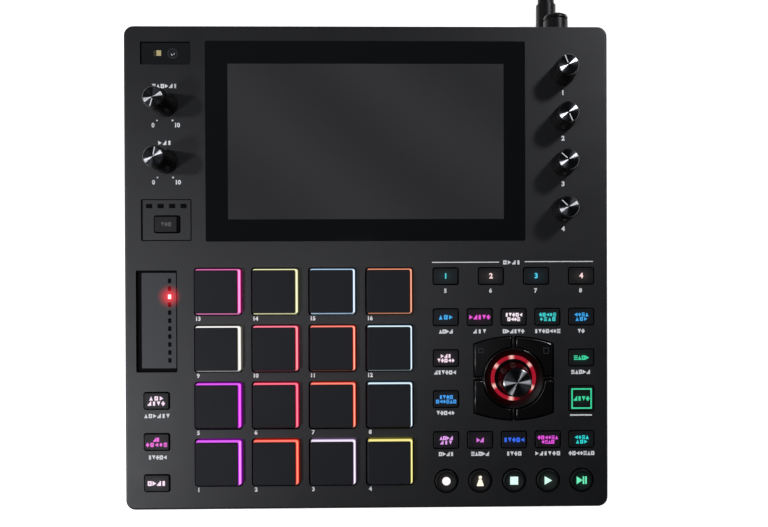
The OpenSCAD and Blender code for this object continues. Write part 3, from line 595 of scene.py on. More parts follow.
# Screen print and small painted parts: flat, even tones. The darker strip beside the gold sensor is painted
# shade and the pale lens discs are painted glints.
WHITE_INK = Printed("ink_white", "#ffffff", 0.55)
FAINT_INK = Printed("ink_faint_grey", "#2c2e32", 0.5)
SENSOR_GOLD = Printed("sensor_gold", "#d8c78e", 0.4)
SENSOR_GOLD_SHADE = Printed("sensor_gold_painted_shade", "#3a3518", 0.5)
LENS_GREY = Printed("lens_barrel_grey", "#3a3b3e", 0.35)
LENS_PAINTED_GLINT = Printed("lens_painted_glint", "#d8d8dc", 0.3)
# Ground, zinc-plated and rolled steel: bright metal with fine scratches.
SHAFT_STEEL = Brushed("steel_shafts_ground", "#b9bbbf", 0.3, metallic=1.0)
SCREW_STEEL = Brushed("steel_screws_zinc", "#a9acb2", 0.35, metallic=1.0)
DISPLAY_METAL = Brushed("steel_display_tray", "#8b8e92", 0.4, metallic=1.0)
# Black anodised aluminium, face-turned: dark all over but for painted highlight wedges across its rings.
DIAL_METAL = Turned("aluminium_turned_dial", "#e4e6ea", 0.36, metallic=1.0, wedges=(57.0, 182.0), half=15.0)
# Black-printed glass: smooth and dark, the display only a shade paler.
GLASS = CoverGlass("glass_cover_printed", "#101214", 0.05, reflect=0.25)
# Satin grey ABS of the touch plate: an even dark grey, with the lit level lamp's glow painted on it.
PLATE_ABS = Moulding(
    "abs_touch_plate_satin", "#3c3d3f", 0.45, reflect=0.4, grain_mm=0.6, depth_mm=0.01, lamp=LEVEL_LAMP_PAINTED_GLOW
)
BOARD = SolderMask("glass_fibre_solder_mask", "#11572f", 0.4)
# Red acrylic light guide, lit from below: it glows evenly, with pale spots over its lamps.
RING_LIGHT = RingLight("acrylic_ring_red", "#a2162a", 0.3, reflect=0.2)
# Black-dyed polycarbonate window: nearly opaque, with a hard gloss.
SENSOR_PC = Moulding(
    "polycarbonate_window_black", "#0f1113", 0.14, reflect=0.8, grain_mm=9.0, depth_mm=0.003, drift=0.02
)


# Meshes


def round_top(made: BMesh, height: float, edge: float) -> None:
    """Round the edges of a flat top.

    Args:
        made: The mesh.
        height: Height of the top.
        edge: Radius of its edges, or 0 to leave them sharp.
    """
    if edge:
        rim = [e for e in made.edges if all(v.co.z > height - 1e-6 for v in e.verts)]
        bmesh.ops.bevel(made, geom=rim, offset=edge, affect="EDGES", segments=3, profile=0.5, material=-1)


def block(size: Place, corner: float = 0.0, edge: float = 0.0, steps: int = 4) -> BMesh:
    """Make a block on the floor of its own space.

    Args:
        size: Width, depth and height.
        corner: Radius of the upright corners.
        edge: Radius of the top edge.
        steps: Segments in each rounded corner.

    Returns:
        The block's mesh.
    """
    made = bmesh.new()
    height = size[2]
    place = Matrix.Translation((0, 0, height / 2)) @ Matrix.Diagonal((*size, 1))
    bmesh.ops.create_cube(made, size=1.0, matrix=place)
    if corner:
        upright = [e for e in made.edges if abs(e.verts[0].co.z - e.verts[1].co.z) > height / 2]
        bmesh.ops.bevel(
            made, geom=upright, offset=corner, affect="EDGES", segments=steps, profile=0.5, material=-1
        )
    round_top(made, height, edge)
    return made


def turned(profile: Sequence[Point], steps: int = 64) -> BMesh:
    """Turn a closed outline round the upright axis.

    Args:
        profile: Radius and height of each corner, with the ends on the axis or joined by the turn.
        steps: Segments of the full turn.

    Returns:
        The turned mesh, closed.
    """
    made = bmesh.new()
    corners = [made.verts.new((radius, 0.0, height)) for radius, height in profile]
    sides = [made.edges.new(pair) for pair in zip(corners, corners[1:])]
    if profile[0][0] > 1e-6:
        sides.append(made.edges.new((corners[-1], corners[0])))
    around = {"cent": (0, 0, 0), "axis": (0, 0, 1), "angle": math.tau}
    bmesh.ops.spin(made, geom=corners + sides, steps=steps, use_merge=True, **around)
    bmesh.ops.remove_doubles(made, verts=made.verts, dist=1e-5)
    bmesh.ops.recalc_face_normals(made, faces=made.faces)
    return made


def disc(radius: float, height: float, steps: int, inner: float = 0.0) -> BMesh:
    """Make an upright rod, a thin disc or, with an inner radius, a ring.

    Args:
        radius: Outer radius.
        height: Height.
        steps: Segments of the full turn.
        inner: Inner radius.

    Returns:
        The mesh.
    """
    return turned([(inner, 0), (radius, 0), (radius, height), (inner, height)], steps)


def stem() -> BMesh:
    """Make a key's round stem, from its foot up to the flange."""
    return disc(STEM_RADIUS, FLANGE_FOOT - STEM_FOOT, 24)


def prism(outline: Sequence[Point], height: float, edge: float = 0.0) -> BMesh:
    """Make an upright prism.

    Args:
        outline: The corners of its base.
        height: Its height.
        edge: Radius of the top edge.

    Returns:
        The prism's mesh.
    """
    made = bmesh.new()
    base = made.faces.new([made.verts.new((x, y, 0.0)) for x, y in outline])
    grown = bmesh.ops.extrude_face_region(made, geom=[base])
    tops = [v for v in grown["geom"] if isinstance(v, BMVert)]
    bmesh.ops.translate(made, verts=tops, vec=(0, 0, height))
    bmesh.ops.recalc_face_normals(made, faces=made.faces)
    round_top(made, height, edge)
    return made


def draw_up(
    made: BMesh, lid: list[BMFace], width: float, steps: Sequence[Point], floor: bool = False
) -> None:
    """Draw a lid up in steps and change its width on the way.

    Args:
        made: The mesh, changed in place.
        lid: The faces that are drawn up.
        width: The lid's first width.
        steps: The width after each step, and the step's rise.
        floor: Whether the first lid stays in place as the floor.
    """
    for wide, rise in steps:
        drawn = bmesh.ops.extrude_face_region(made, geom=lid)["geom"]
        tops = [v for v in drawn if isinstance(v, BMVert)]
        fresh = [f for f in drawn if isinstance(f, BMFace)]
        if not floor:
            bmesh.ops.delete(made, geom=lid, context="FACES")
        floor = False
        share = wide / width
        bmesh.ops.scale(made, verts=tops, vec=(share, share, 1.0))
        bmesh.ops.translate(made, verts=tops, vec=(0, 0, rise))
        width, lid = wide, fresh
    bmesh.ops.recalc_face_normals(made, faces=made.faces)


def numeral(text: str, height: float, thick: float = 0.04, weight: float = 0.07) -> BMesh:
    """Make a printed number, centred on its place.

    Args:
        text: The digits.
        height: Height of a digit.
        thick: Thickness of the ink.
        weight: How much fatter its strokes get, as a share of the height.

    Returns:
        The number's mesh.
    """
    curve = bpy.data.curves.new("numeral", "FONT")
    curve.body = text
    curve.size = height / 0.7
    curve.extrude = thick / 2
    curve.offset = weight * height
    curve.resolution_u = 3
    curve.align_x = "CENTER"
    curve.align_y = "CENTER"
    holder = bpy.data.objects.new("numeral", curve)
    mesh = bpy.data.meshes.new_from_object(holder)
    made = bmesh.new()
    made.from_mesh(mesh)
    bmesh.ops.translate(made, verts=made.verts, vec=(0, 0, thick / 2))
    bpy.data.objects.remove(holder)
    bpy.data.curves.remove(curve)
    bpy.data.meshes.remove(mesh)
    return made


class Form:
    """A piece in the making, in millimetres."""

    def __init__(self) -> None:
        """Start with an empty mesh."""
        self.bm = bmesh.new()
        self.finishes: list[Finish] = []

    def slot(self, finish: Finish) -> int:
        """Find a finish on this piece, which gets it if it is new.

        Args:
            finish: The finish.

        Returns:
            Its number.
        """
        if finish not in self.finishes:
            self.finishes.append(finish)
        return self.finishes.index(finish)

    def add(
        self, part: BMesh, finish: Finish, at: Place, turn: float = 0.0, tilt: Matrix | None = None
    ) -> None:
        """Add one solid in one finish.

        Args:
            part: The solid's mesh, which is used up.
            finish: Its finish.
            at: Where its own origin goes.
            turn: Turn about the upright axis, in degrees.
            tilt: A further turn, done first.
        """
        slot = self.slot(finish)
        for face in part.faces:
            face.material_index = slot
        place = Matrix.Translation(at) @ Matrix.Rotation(math.radians(turn), 4, "Z")
        if tilt is not None:
            place = place @ tilt
        bmesh.ops.transform(part, matrix=place, verts=part.verts)
        mesh = bpy.data.meshes.new("solid")
        part.to_mesh(mesh)
        part.free()
        self.bm.from_mesh(mesh)
        bpy.data.meshes.remove(mesh)

    def repaint(self, finish: Finish, chosen: Callable[[BMFace], bool]) -> None:
        """Give the chosen faces another finish.

        Args:
            finish: The finish.
            chosen: Says whether a face takes it.
        """
        slot = self.slot(finish)
        for face in self.bm.faces:
            if chosen(face):
                face.material_index = slot

    def ring_map(self, centre: Point) -> None:
        """Map the whole piece so that its first direction runs out from a centre.

        Args:
            centre: The middle of the rings.
        """
        layer = self.bm.loops.layers.uv.new("rings")
        for face in self.bm.faces:
            centroid = face.calc_center_median()
            home = math.atan2(centroid.y - centre[1], centroid.x - centre[0])
            for loop in face.loops:
                x = loop.vert.co.x - centre[0]
                y = loop.vert.co.y - centre[1]
                angle = math.atan2(y, x) if x * x + y * y > 1e-6 else home
                while angle - home > math.pi:
                    angle -= math.tau
                while home - angle > math.pi:
                    angle += math.tau
                loop[layer].uv = (math.hypot(x, y) / 10, angle / math.tau)

    def piece(self, name: str, body: str, smooth: float = 35.0) -> bpy.types.Object:
        """Finish the piece: scale it to metres, dress it and let it ride on its body.

        Args:
            name: The piece's name.
            body: The body that carries it.
            smooth: Edges under this angle, in degrees, are shaded smooth.

        Returns:
            The object.
        """
        bmesh.ops.scale(self.bm, verts=self.bm.verts, vec=(METRE, METRE, METRE))
        mesh = bpy.data.meshes.new(name)
        self.bm.to_mesh(mesh)
        self.bm.free()
        for finish in self.finishes:
            mesh.materials.append(finish.material())
        mesh.shade_smooth()
        mesh.set_sharp_from_angle(angle=math.radians(smooth))
        for face in mesh.polygons:
            if face.normal.z > 0.99999:
                face.use_smooth = False
        made = bpy.data.objects.new(name, mesh)
        bpy.context.scene.collection.objects.link(made)
        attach(made, body)
        LOG.info("%s: %d faces on %s", name, len(mesh.polygons), body)
        return made

    def cap(self, node: str, slot: str, smooth: float = 35.0) -> None:
        """Finish the piece as the cap that stands for a node and rides on its body.

        Args:
            node: The node.
            slot: Not used.
            smooth: Edges under this angle, in degrees, are shaded smooth.
        """
        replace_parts(self.piece(node + "_cap", node, smooth), node)


class Sign(Enum):
    """The plain signs that fill a printed or lit line."""

    BAR = "bar"
    BOX = "box"
    RIGHT = "right"
    LEFT = "left"
    UP = "up"
    DOWN = "down"
    PLUS = "plus"
    STEPS = "steps"
    LINES = "lines"
    DIAMOND = "diamond"


ROW_SIGNS = (
    Sign.LINES, Sign.UP, Sign.BOX, Sign.RIGHT, Sign.STEPS, Sign.BAR, Sign.DOWN, Sign.PLUS, Sign.BOX,
    Sign.LEFT, Sign.DIAMOND,
)  # fmt: skip


@dataclass
class SignWriter:
    """Draws rows of plain signs as thin solids."""

    thick: float = 0.05
    slim: float = 0.82
    tight: float = 0.94
    weight: float = 0.31

    def solids(self, sign: Sign, height: float) -> Solids:
        """Make one sign's solids, each with its offset from the sign's centre.

        Args:
            sign: The sign.
            height: Its height.

        Returns:
            Pairs of a mesh and an offset.
        """
        stroke = self.weight * height
        width = self.slim * height
        side, top = width / 2, height / 2
        outlines = {
            Sign.RIGHT: [(-side, -top), (side, 0), (-side, top)],
            Sign.LEFT: [(side, top), (-side, 0), (side, -top)],
            Sign.UP: [(-side, -top), (side, -top), (0, top)],
            Sign.DOWN: [(-side, top), (0, -top), (side, top)],
            Sign.DIAMOND: [(-side, 0), (0, -top), (side, 0), (0, top)],
        }
        if sign in outlines:
            return [(prism(outlines[sign], self.thick), (0, 0))]
        if sign is Sign.BAR:
            return [(block((1.6 * stroke, height, self.thick)), (0, 0))]
        if sign is Sign.BOX:
            return self.outline(width, height, stroke)
        if sign is Sign.PLUS:
            bar = 1.2 * stroke
            arm = (width - bar) / 2
            away = (arm + bar) / 2
            bars = (((bar, height), 0), ((arm, bar), -away), ((arm, bar), away))
            return [(block((*size, self.thick)), (x, 0)) for size, x in bars]
        if sign is Sign.STEPS:
            third = width / 3
            return [
                (block((third, height * k / 3, self.thick)), ((k - 2) * third, (k / 3 - 1) * top))
                for k in (1, 2, 3)
            ]
        return [(block((width, 0.24 * height, self.thick)), (0, y * 0.38 * height)) for y in (-1, 0, 1)]

    def outline(self, width: float, depth: float, stroke: float) -> Solids:
        """Make a box's outline from four bars.

        Args:
            width: Outer width.
            depth: Outer depth.
            stroke: Width of its line.

        Returns:
            Pairs of a mesh and an offset.
        """
        across = (width, stroke, self.thick)
        along = (stroke, depth - 2 * stroke, self.thick)
        x, y = (width - stroke) / 2, (depth - stroke) / 2
        bars = ((across, (0, -y)), (across, (0, y)), (along, (-x, 0)), (along, (x, 0)))
        return [(block(size), offset) for size, offset in bars]

    @staticmethod
    def put(form: Form, finish: Finish, at: Place, solids: Solids) -> None:
        """Add a sign's solids to a piece.

        Args:
            form: The piece that takes them.
            finish: Their finish.
            at: The sign's centre, on the surface.
            solids: Pairs of a mesh and an offset.
        """
        for mesh, (dx, dy) in solids:
            form.add(mesh, finish, (at[0] + dx, at[1] + dy, at[2]))

    def row(self, form: Form, finish: Finish, at: Place, width: float, height: float, first: int = 0) -> None:
        """Fill a line of a given width with plain signs.

        Args:
            form: The piece that takes them.
            finish: Their finish.
            at: The middle of the line, on the surface.
            width: Width of the line.
            height: Height of the signs.
            first: Which sign the line starts with.
        """
        count = max(1, round(width / (self.tight * height)))
        pitch = (width - self.slim * height) / (count - 1) if count > 1 else 0.0
        for k in range(count):
            x = at[0] + (k - (count - 1) / 2) * pitch
            sign = ROW_SIGNS[(first + k) % len(ROW_SIGNS)]
            self.put(form, finish, (x, at[1], at[2]), self.solids(sign, height))


def dress(frame: dict, finish: Finish, *nodes: str) -> None:
    """Give CAD nodes a finish.

    Args:
        frame: The loaded frame.
        finish: The finish.
        nodes: The nodes' names.
    """
    for node in nodes:
        for slot in frame["nodes"][node].material_slots:
            slot.material = finish.material()
        LOG.info("%s dressed in %s", node, finish.name)


def middle(node: str) -> Point:
    """Return the middle of a CAD node, seen from above, in millimetres."""
    low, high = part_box(node)
    return ((low.x + high.x) / 2 / METRE, (low.y + high.y) / 2 / METRE)


# Studio


@dataclass
class Studio:
    """Camera, floor and soft lights."""

    camera_place: Place = (37.72, -12.58, 401.29)
    camera_turn: Place = (0.262, 0.805, 0.195)
    lens_mm: float = 30.108
    shift: Point = (-0.0771, 0.0264)
    aim: Place = (0.0, 0.0, 0.03)
    lamp_tint: str = "#f7f8ff"
    lamp_list: tuple[tuple[str, Place, float, float], ...] = (
        ("lamp_right", (0.6, 0.55, 0.75), 0.16, 3.45),
        ("lamp_front_left", (-0.74, -0.36, 0.775), 0.18, 4.05),
        ("lamp_left", (-0.8, 0.12, 0.775), 0.1, 1.45),
        ("lamp_top", (-0.09, -0.03, 0.75), 0.14, 0.42),
    )

    def build(self) -> None:
        """Set the camera, floor, lights and world."""
        scene = bpy.context.scene
        scene.view_settings.view_transform = "Standard"
        self.camera(scene)
        self.floor(scene)
        self.lamps(scene)
        self.world(scene)

    def camera(self, scene: Scene) -> None:
        """Set the camera over the machine, turned as the view needs.

        Args:
            scene: The scene.
        """
        data = bpy.data.cameras.new("view_camera")
        data.lens = self.lens_mm
        data.sensor_width = 36.0
        data.shift_x, data.shift_y = self.shift
        data.clip_start = 0.01
        data.clip_end = 20.0
        turn = Vector([math.radians(v) for v in self.camera_turn])
        holder = bpy.data.objects.new("view_camera", data)
        out = Matrix.Rotation(turn.length, 3, turn.normalized()).transposed()
        holder.matrix_world = Matrix.Translation(Vector(self.camera_place) * METRE) @ out.to_4x4()
        scene.collection.objects.link(holder)
        scene.camera = holder

    def floor(self, scene: Scene) -> None:
        """Lay a plain pale floor that shows white and keeps the machine's shadow.

        Args:
            scene: The scene.
        """
        sheet = bmesh.new()
        bmesh.ops.create_grid(sheet, x_segments=2, y_segments=2, size=3.0)
        mesh = bpy.data.meshes.new("floor")
        sheet.to_mesh(mesh)
        sheet.free()
        stuff = bpy.data.materials.new("paper_backdrop")
        stuff.use_nodes = True
        tree = stuff.node_tree
        rays = add_node(tree, "LightPath").outputs
        most = {"operation": "MAXIMUM"}
        seen = add_node(tree, "Math", most, {0: rays["Is Camera Ray"], 1: rays["Is Glossy Ray"]})
        seen = add_node(tree, "Math", most, {0: seen, 1: rays["Is Transmission Ray"]})
        lift = add_node(tree, "Math", {"operation": "MULTIPLY", 1: 0.9}, {0: seen})
        values = {"Base Color": srgb("#e6e6e6"), "Roughness": 0.9, "Emission Color": (1.0, 1.0, 1.0, 1.0)}
        set_up(tree.nodes["Principled BSDF"], values, {"Emission Strength": lift})
        mesh.materials.append(stuff)
        sheet_object = bpy.data.objects.new("floor", mesh)
        scene.collection.objects.link(sheet_object)

    def lamps(self, scene: Scene) -> None:
        """Hang the soft lights, each with its place, its width and its power.

        Args:
            scene: The scene.
        """
        for name, place, size, power in self.lamp_list:
            data = bpy.data.lights.new(name, "AREA")
            data.shape = "DISK"
            data.size = size
            data.energy = power
            data.color = srgb(self.lamp_tint)[:3]
            holder = bpy.data.objects.new(name, data)
            holder.location = place
            way = Vector(self.aim) - Vector(place)
            holder.rotation_euler = way.to_track_quat("-Z", "Y").to_euler()
            scene.collection.objects.link(holder)

    def world(self, scene: Scene) -> None:
        """Fill with a plain pale sky, brighter towards the rear left, which shows white.

        Args:
            scene: The scene.
        """
        sky = bpy.data.worlds.new("studio_sky")
        sky.use_nodes = True
        tree = sky.node_tree
        way = add_node(tree, "TexCoord").outputs["Generated"]
        rear_left = {"operation": "DOT_PRODUCT", 1: (-0.7, 0.7, 0.0)}
        along = add_node(tree, "VectorMath", rear_left, {0: way}).outputs["Value"]
        span = {"From Min": -0.3, "From Max": 0.5, "To Min": 0.0, "To Max": 0.13}
        level = add_node(tree, "MapRange", span, {"Value": along})
        rays = add_node(tree, "LightPath").outputs
        seen = add_node(tree, "Math", {"operation": "MAXIMUM"}, {0: level, 1: rays["Is Camera Ray"]})
        set_up(tree.nodes["Background"], {"Color": srgb("#f4f6f8")}, {"Strength": seen})
        scene.world = sky


# Supply lead


@dataclass
class SupplyLead:
    """The free supply lead, from its plug to the coil and the wall adapter."""

    diameter: float = 5.0
    route: tuple[Place, ...] = (
        (105.7, 181, 13.2), (105.7, 187, 13), (105.7, 194, 11.9), (105.7, 201, 9.8),
        (105.6, 208, 7.2), (105.3, 215, 4.8), (104.6, 222, 3.1), (103, 229, 2.5),
        (99.6, 235.4, 2.5), (94.2, 240.6, 2.5), (87, 244, 2.5), (78.5, 245.8, 2.5),
        (69, 246, 2.5), (57, 246, 2.5),
    )  # fmt: skip
    coil_centre: Point = (45.0, 211.0)
    coil_radius: float = 35.0
    coil_turns: int = 7
    turn_points: int = 30
    ends: tuple[Place, ...] = ((35.0, 246.0, 7.5), (25.0, 246.0, 7.5))

    @staticmethod
    def ease(t: float, start: float, end: float) -> float:
        """Return a smooth step from 0 at start to 1 at end."""
        share = min(1.0, max(0.0, (t - start) / (end - start)))
        return share * share * (3 - 2 * share)

    def coil(self) -> list[Place]:
        """Return the coil's points: inwards on the table, then up and out over itself."""
        points = []
        for k in range(self.coil_turns * self.turn_points + 1):
            t = k / self.turn_points
            radius = self.coil_radius - self.diameter * sum(self.ease(t, n + 0.6, n + 1.0) for n in range(3))
            radius += self.diameter * sum(self.ease(t, n + 0.1, n + 0.5) for n in (4, 5, 6))
            rise = self.diameter / 2 + self.diameter * self.ease(t, 3.3, 3.8)
            angle = math.pi / 2 + math.tau * t
            x = self.coil_centre[0] + radius * math.cos(angle)
            y = self.coil_centre[1] + radius * math.sin(angle)
            points.append((x, y, rise))
        return points

    def build(self, frame: dict) -> None:
        """Lay the lead and dress its plug and adapter.

        Args:
            frame: The loaded frame.
        """
        path = [*self.route, *self.coil(), *self.ends]
        curve = bpy.data.curves.new("supply_lead", "CURVE")
        curve.dimensions = "3D"
        curve.bevel_depth = self.diameter / 2 * METRE
        curve.bevel_resolution = 4
        curve.use_fill_caps = True
        spline = curve.splines.new("POLY")
        spline.points.add(len(path) - 1)
        for point, place in zip(spline.points, path):
            point.co = (*[v * METRE for v in place], 1.0)
        spline.use_smooth = True
        curve.materials.append(CORD_PVC.material())
        lead = bpy.data.objects.new("supply_lead", curve)
        bpy.context.scene.collection.objects.link(lead)
        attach(lead, "case")
        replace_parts(lead, "power_cord", "cord_coil")
        dress(frame, PLUG_PVC, "power_plug")
        dress(frame, ADAPTER_ABS, "wall_adapter")


# Case


@dataclass
class CaseShells:
    """The two case halves, the feet, the screws and the boards."""

    stem_radius: float = 3.0
    stem_length: float = 3.0
    groove: float = 0.75

    def build(self, frame: dict) -> None:
        """Dress the shells and what is inside them.

        Args:
            frame: The loaded frame.
        """
        dress(frame, PANEL_ABS, "top_case")
        dress(frame, BASE_ABS, "bottom_case")
        dress(frame, FOOT_RUBBER, "feet")
        dress(frame, SCREW_STEEL, "screws")
        dress(frame, BOARD, "main_board", "panel_board")
        dress(frame, SOCKET_PBT, "rear_sockets")
        dress(frame, DISPLAY_METAL, "display_module")
        self.rear_button()
        dress(frame, SHAFT_STEEL, "encoder_shaft")
        dress(frame, GLASS, "display_glass")

    def rear_button(self) -> None:
        """Build the round power button: a rounded head with a groove round it, on its stem."""
        low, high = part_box("power_button")
        x, z = (low.x + high.x) / 2 / METRE, (low.z + high.z) / 2 / METRE
        start, end = low.y / METRE, high.y / METRE
        r = (high.x - low.x) / 2 / METRE
        length = end - start
        stem, foot, neck = self.stem_radius, self.stem_length, r - self.groove
        profile = [
            (0, 0), (stem, 0), (stem, foot), (r, foot), (r, length - 3.1), (neck, length - 2.95),
            (neck, length - 2.35), (r - 0.1, length - 2.2), (r - 0.1, length - 1.0), (r - 0.4, length - 0.4),
            (r - 1.1, length), (r - 1.7, length - 0.3), (0, length - 0.5),
        ]  # fmt: skip
        form = Form()
        form.add(turned(profile), BUTTON_ABS, (x, start, z), tilt=Matrix.Rotation(-math.pi / 2, 4, "X"))
        form.cap("power_button", "button_plastic")


@dataclass
class PanelPrint:
    """White print on the panel: numbers, dots, lines and rows of plain signs."""

    ink: float = 0.04
    label_height: float = 2.35
    number_height: float = 2.2
    rows: tuple[tuple[float, float, float, int], ...] = (
        (-112.9, 97.0, 13.8, 0), (-112.95, 65.2, 7.2, 3),
        (44.2, -41.2, 7.8, 1), (63.35, -41.2, 7.3, 4), (82.5, -41.2, 12.3, 2), (101.65, -41.2, 14.6, 5),
        (120.8, -41.2, 4.0, 6), (43.7, -64.3, 12.3, 4), (120.4, -64.4, 10.7, 0), (43.9, -87.2, 10.1, 6),
        (44.2, -110.4, 8.4, 2), (63.35, -110.4, 10.1, 0), (82.5, -110.4, 8.4, 5), (101.65, -110.4, 14.0, 3),
        (120.8, -110.4, 14.6, 7), (-118.05, -87.9, 14.2, 1), (-117.9, -111.2, 10.3, 5), (81.5, -2.3, 9.6, 2),
    )  # fmt: skip
    lines: tuple[tuple[float, float, float, float], ...] = (
        (36.5, 74.4, -2.15, 0.5), (88.8, 127.6, -1.9, 0.5), (114.35, 126.85, -88.8, 0.75),
    )  # fmt: skip
    scale_ends: tuple[tuple[float, float, str], ...] = (
        (-119.4, 75.0, "0"), (-106.0, 75.0, "10"), (-119.3, 43.05, "0"), (-105.7, 43.05, "10"),
    )  # fmt: skip
    dots: tuple[Point, ...] = ((-117.2, 77.75), (-108.5, 77.75), (-117.05, 45.85), (-108.4, 45.85))

    def build(self) -> None:
        """Print the panel."""
        form = Form()
        for k in range(16):
            at = (-94.9 + 32.1 * (k % 4), -129.7 + 32.05 * (k // 4), PANEL)
            form.add(numeral(str(k + 1), self.number_height), WHITE_INK, at)
        for k, y in enumerate((93.3, 67.6, 41.9, 16.5)):
            form.add(numeral(str(k + 1), 2.5), WHITE_INK, (110.75, y, PANEL))
        for k in range(4):
            form.add(numeral(str(k + 5), self.number_height), WHITE_INK, (44.0 + 25.5 * k, -18.3, PANEL))
        for x, y in self.dots:
            form.add(disc(0.5, self.ink, 16), WHITE_INK, (x, y, PANEL))
        for x, y, text in self.scale_ends:
            form.add(numeral(text, 2.3), WHITE_INK, (x, y, PANEL))
        writer = SignWriter(self.ink)
        for x, y, width, first in self.rows:
            writer.row(form, WHITE_INK, (x, y, PANEL), width, self.label_height, first)
        for left, right, y, wide in self.lines:
            form.add(block((right - left, wide, self.ink)), WHITE_INK, ((left + right) / 2, y, PANEL))
        form.piece("panel_print", "case")


@dataclass
class PadGrid:
    """Sixteen pads: a black silicone top on a clear skirt that glows in the pad's colour."""

    flange: float = 28.8
    plunger: float = 12.0
    foot: float = 28.2
    base: float = 25.6
    top: float = 24.0
    crown: float = 23.2
    corner: float = 1.2
    lit_to: float = 3.5
    rear_lit_to: float = 3.3
    lights: tuple[tuple[str, str, str, float], ...] = (
        ("#f68cfc", "#a010c0", "#e068f0", 0.0), ("#ff8e74", "#d02010", "#ff8070", 0.0),
        ("#f8f0fb", "#8c74a0", "#f2e8f8", 0.0), ("#faf2a8", "#9c9430", "#fcec98", 0.0),
        ("#ee64f6", "#9808b0", "#e060f0", 0.0), ("#ff7c98", "#c01038", "#ff7890", 0.0),
        ("#ffa088", "#d03010", "#ff8c7c", 0.0), ("#ecfaff", "#204c68", "#e2f4fa", 0.0),
        ("#ffffff", "#8c8474", "#ffffff", 0.35), ("#ff949e", "#c01040", "#ff8ca4", 0.1),
        ("#ffac90", "#c02810", "#ff9080", 0.1), ("#ecfcff", "#204c70", "#dff6fc", 0.2),
        ("#fc9cdc", "#b01070", "#e078b8", 0.75), ("#fbfbcc", "#6c6a40", "#f4f4c0", 0.6),
        ("#ecf6ff", "#3c5878", "#b4d4f0", 0.65), ("#f4b498", "#a03c10", "#ee9c7c", 0.5),
    )  # fmt: skip

    def build(self) -> None:
        """Build each pad in place of its solid."""
        for number, light in enumerate(self.lights, 1):
            self.pad(f"pad_{number:02d}", *light)

    def pad(self, name: str, right: str, foot: str, rear: str, front: float) -> None:
        """Build one pad, whose flanks take lit and shaded copies of its glow.

        Args:
            name: The node that it stands for.
            right: Colour of the right flank.
            foot: Colour of the flanks' edges.
            rear: Colour of the rear flank.
            front: The front flank's share of the light, painted dimmer than the lit flanks.
        """
        form = Form()
        x, y = middle(name)
        rim = block((self.flange, self.flange, FLANGE_THICK), self.corner)
        form.add(rim, SKIRT_DARK, (x, y, FLANGE_FOOT))
        plunger = block((self.plunger, self.plunger, FLANGE_FOOT - self.foot), 1.0)
        form.add(plunger, SKIRT_DARK, (x, y, self.foot))
        body = block((self.base, self.base, PANEL - FLANGE_TOP), self.corner)
        lid = [f for f in body.faces if f.normal.z > 0.9]
        steps = (
            (self.top + 0.1, 3.0), (self.top, 0.2), (self.crown + 0.4, 0.35), (self.crown - 0.2, 0.15),
        )  # fmt: skip
        draw_up(body, lid, self.base, steps)
        form.add(body, PAD_SILICONE, (x, y, FLANGE_TOP))

        def flank(face: BMFace, lit_to: float = self.lit_to) -> bool:
            """Say whether a face belongs to the flanks, below the height that they are lit to."""
            height = face.calc_center_median().z
            return FLANGE_TOP + 0.1 < height < PANEL + lit_to and abs(face.normal.z) < 0.6

        side = LitSkirt(f"silicone_{name}_right", right, 0.4, edge=foot, strength=1.1, centre=(x, y))
        back = LitSkirt(f"silicone_{name}_rear", rear, 0.4, edge=foot, strength=0.95, centre=(x, y))
        # Lit and shaded copies of one glow: right and rear flanks bright, front flank dimmer, left flank dark
        # silicone as painted shade.
        form.repaint(SKIRT_DARK, flank)
        form.repaint(side, lambda f: flank(f) and f.normal.x > 0.3)
        form.repaint(back, lambda f: flank(f, self.rear_lit_to) and f.normal.y > 0.75)
        if front:
            dim = Lit(f"silicone_{name}_front", rear, 0.4, strength=front)
            form.repaint(dim, lambda f: flank(f) and f.normal.y < -0.9)
        form.cap(name, "pad_rubber")


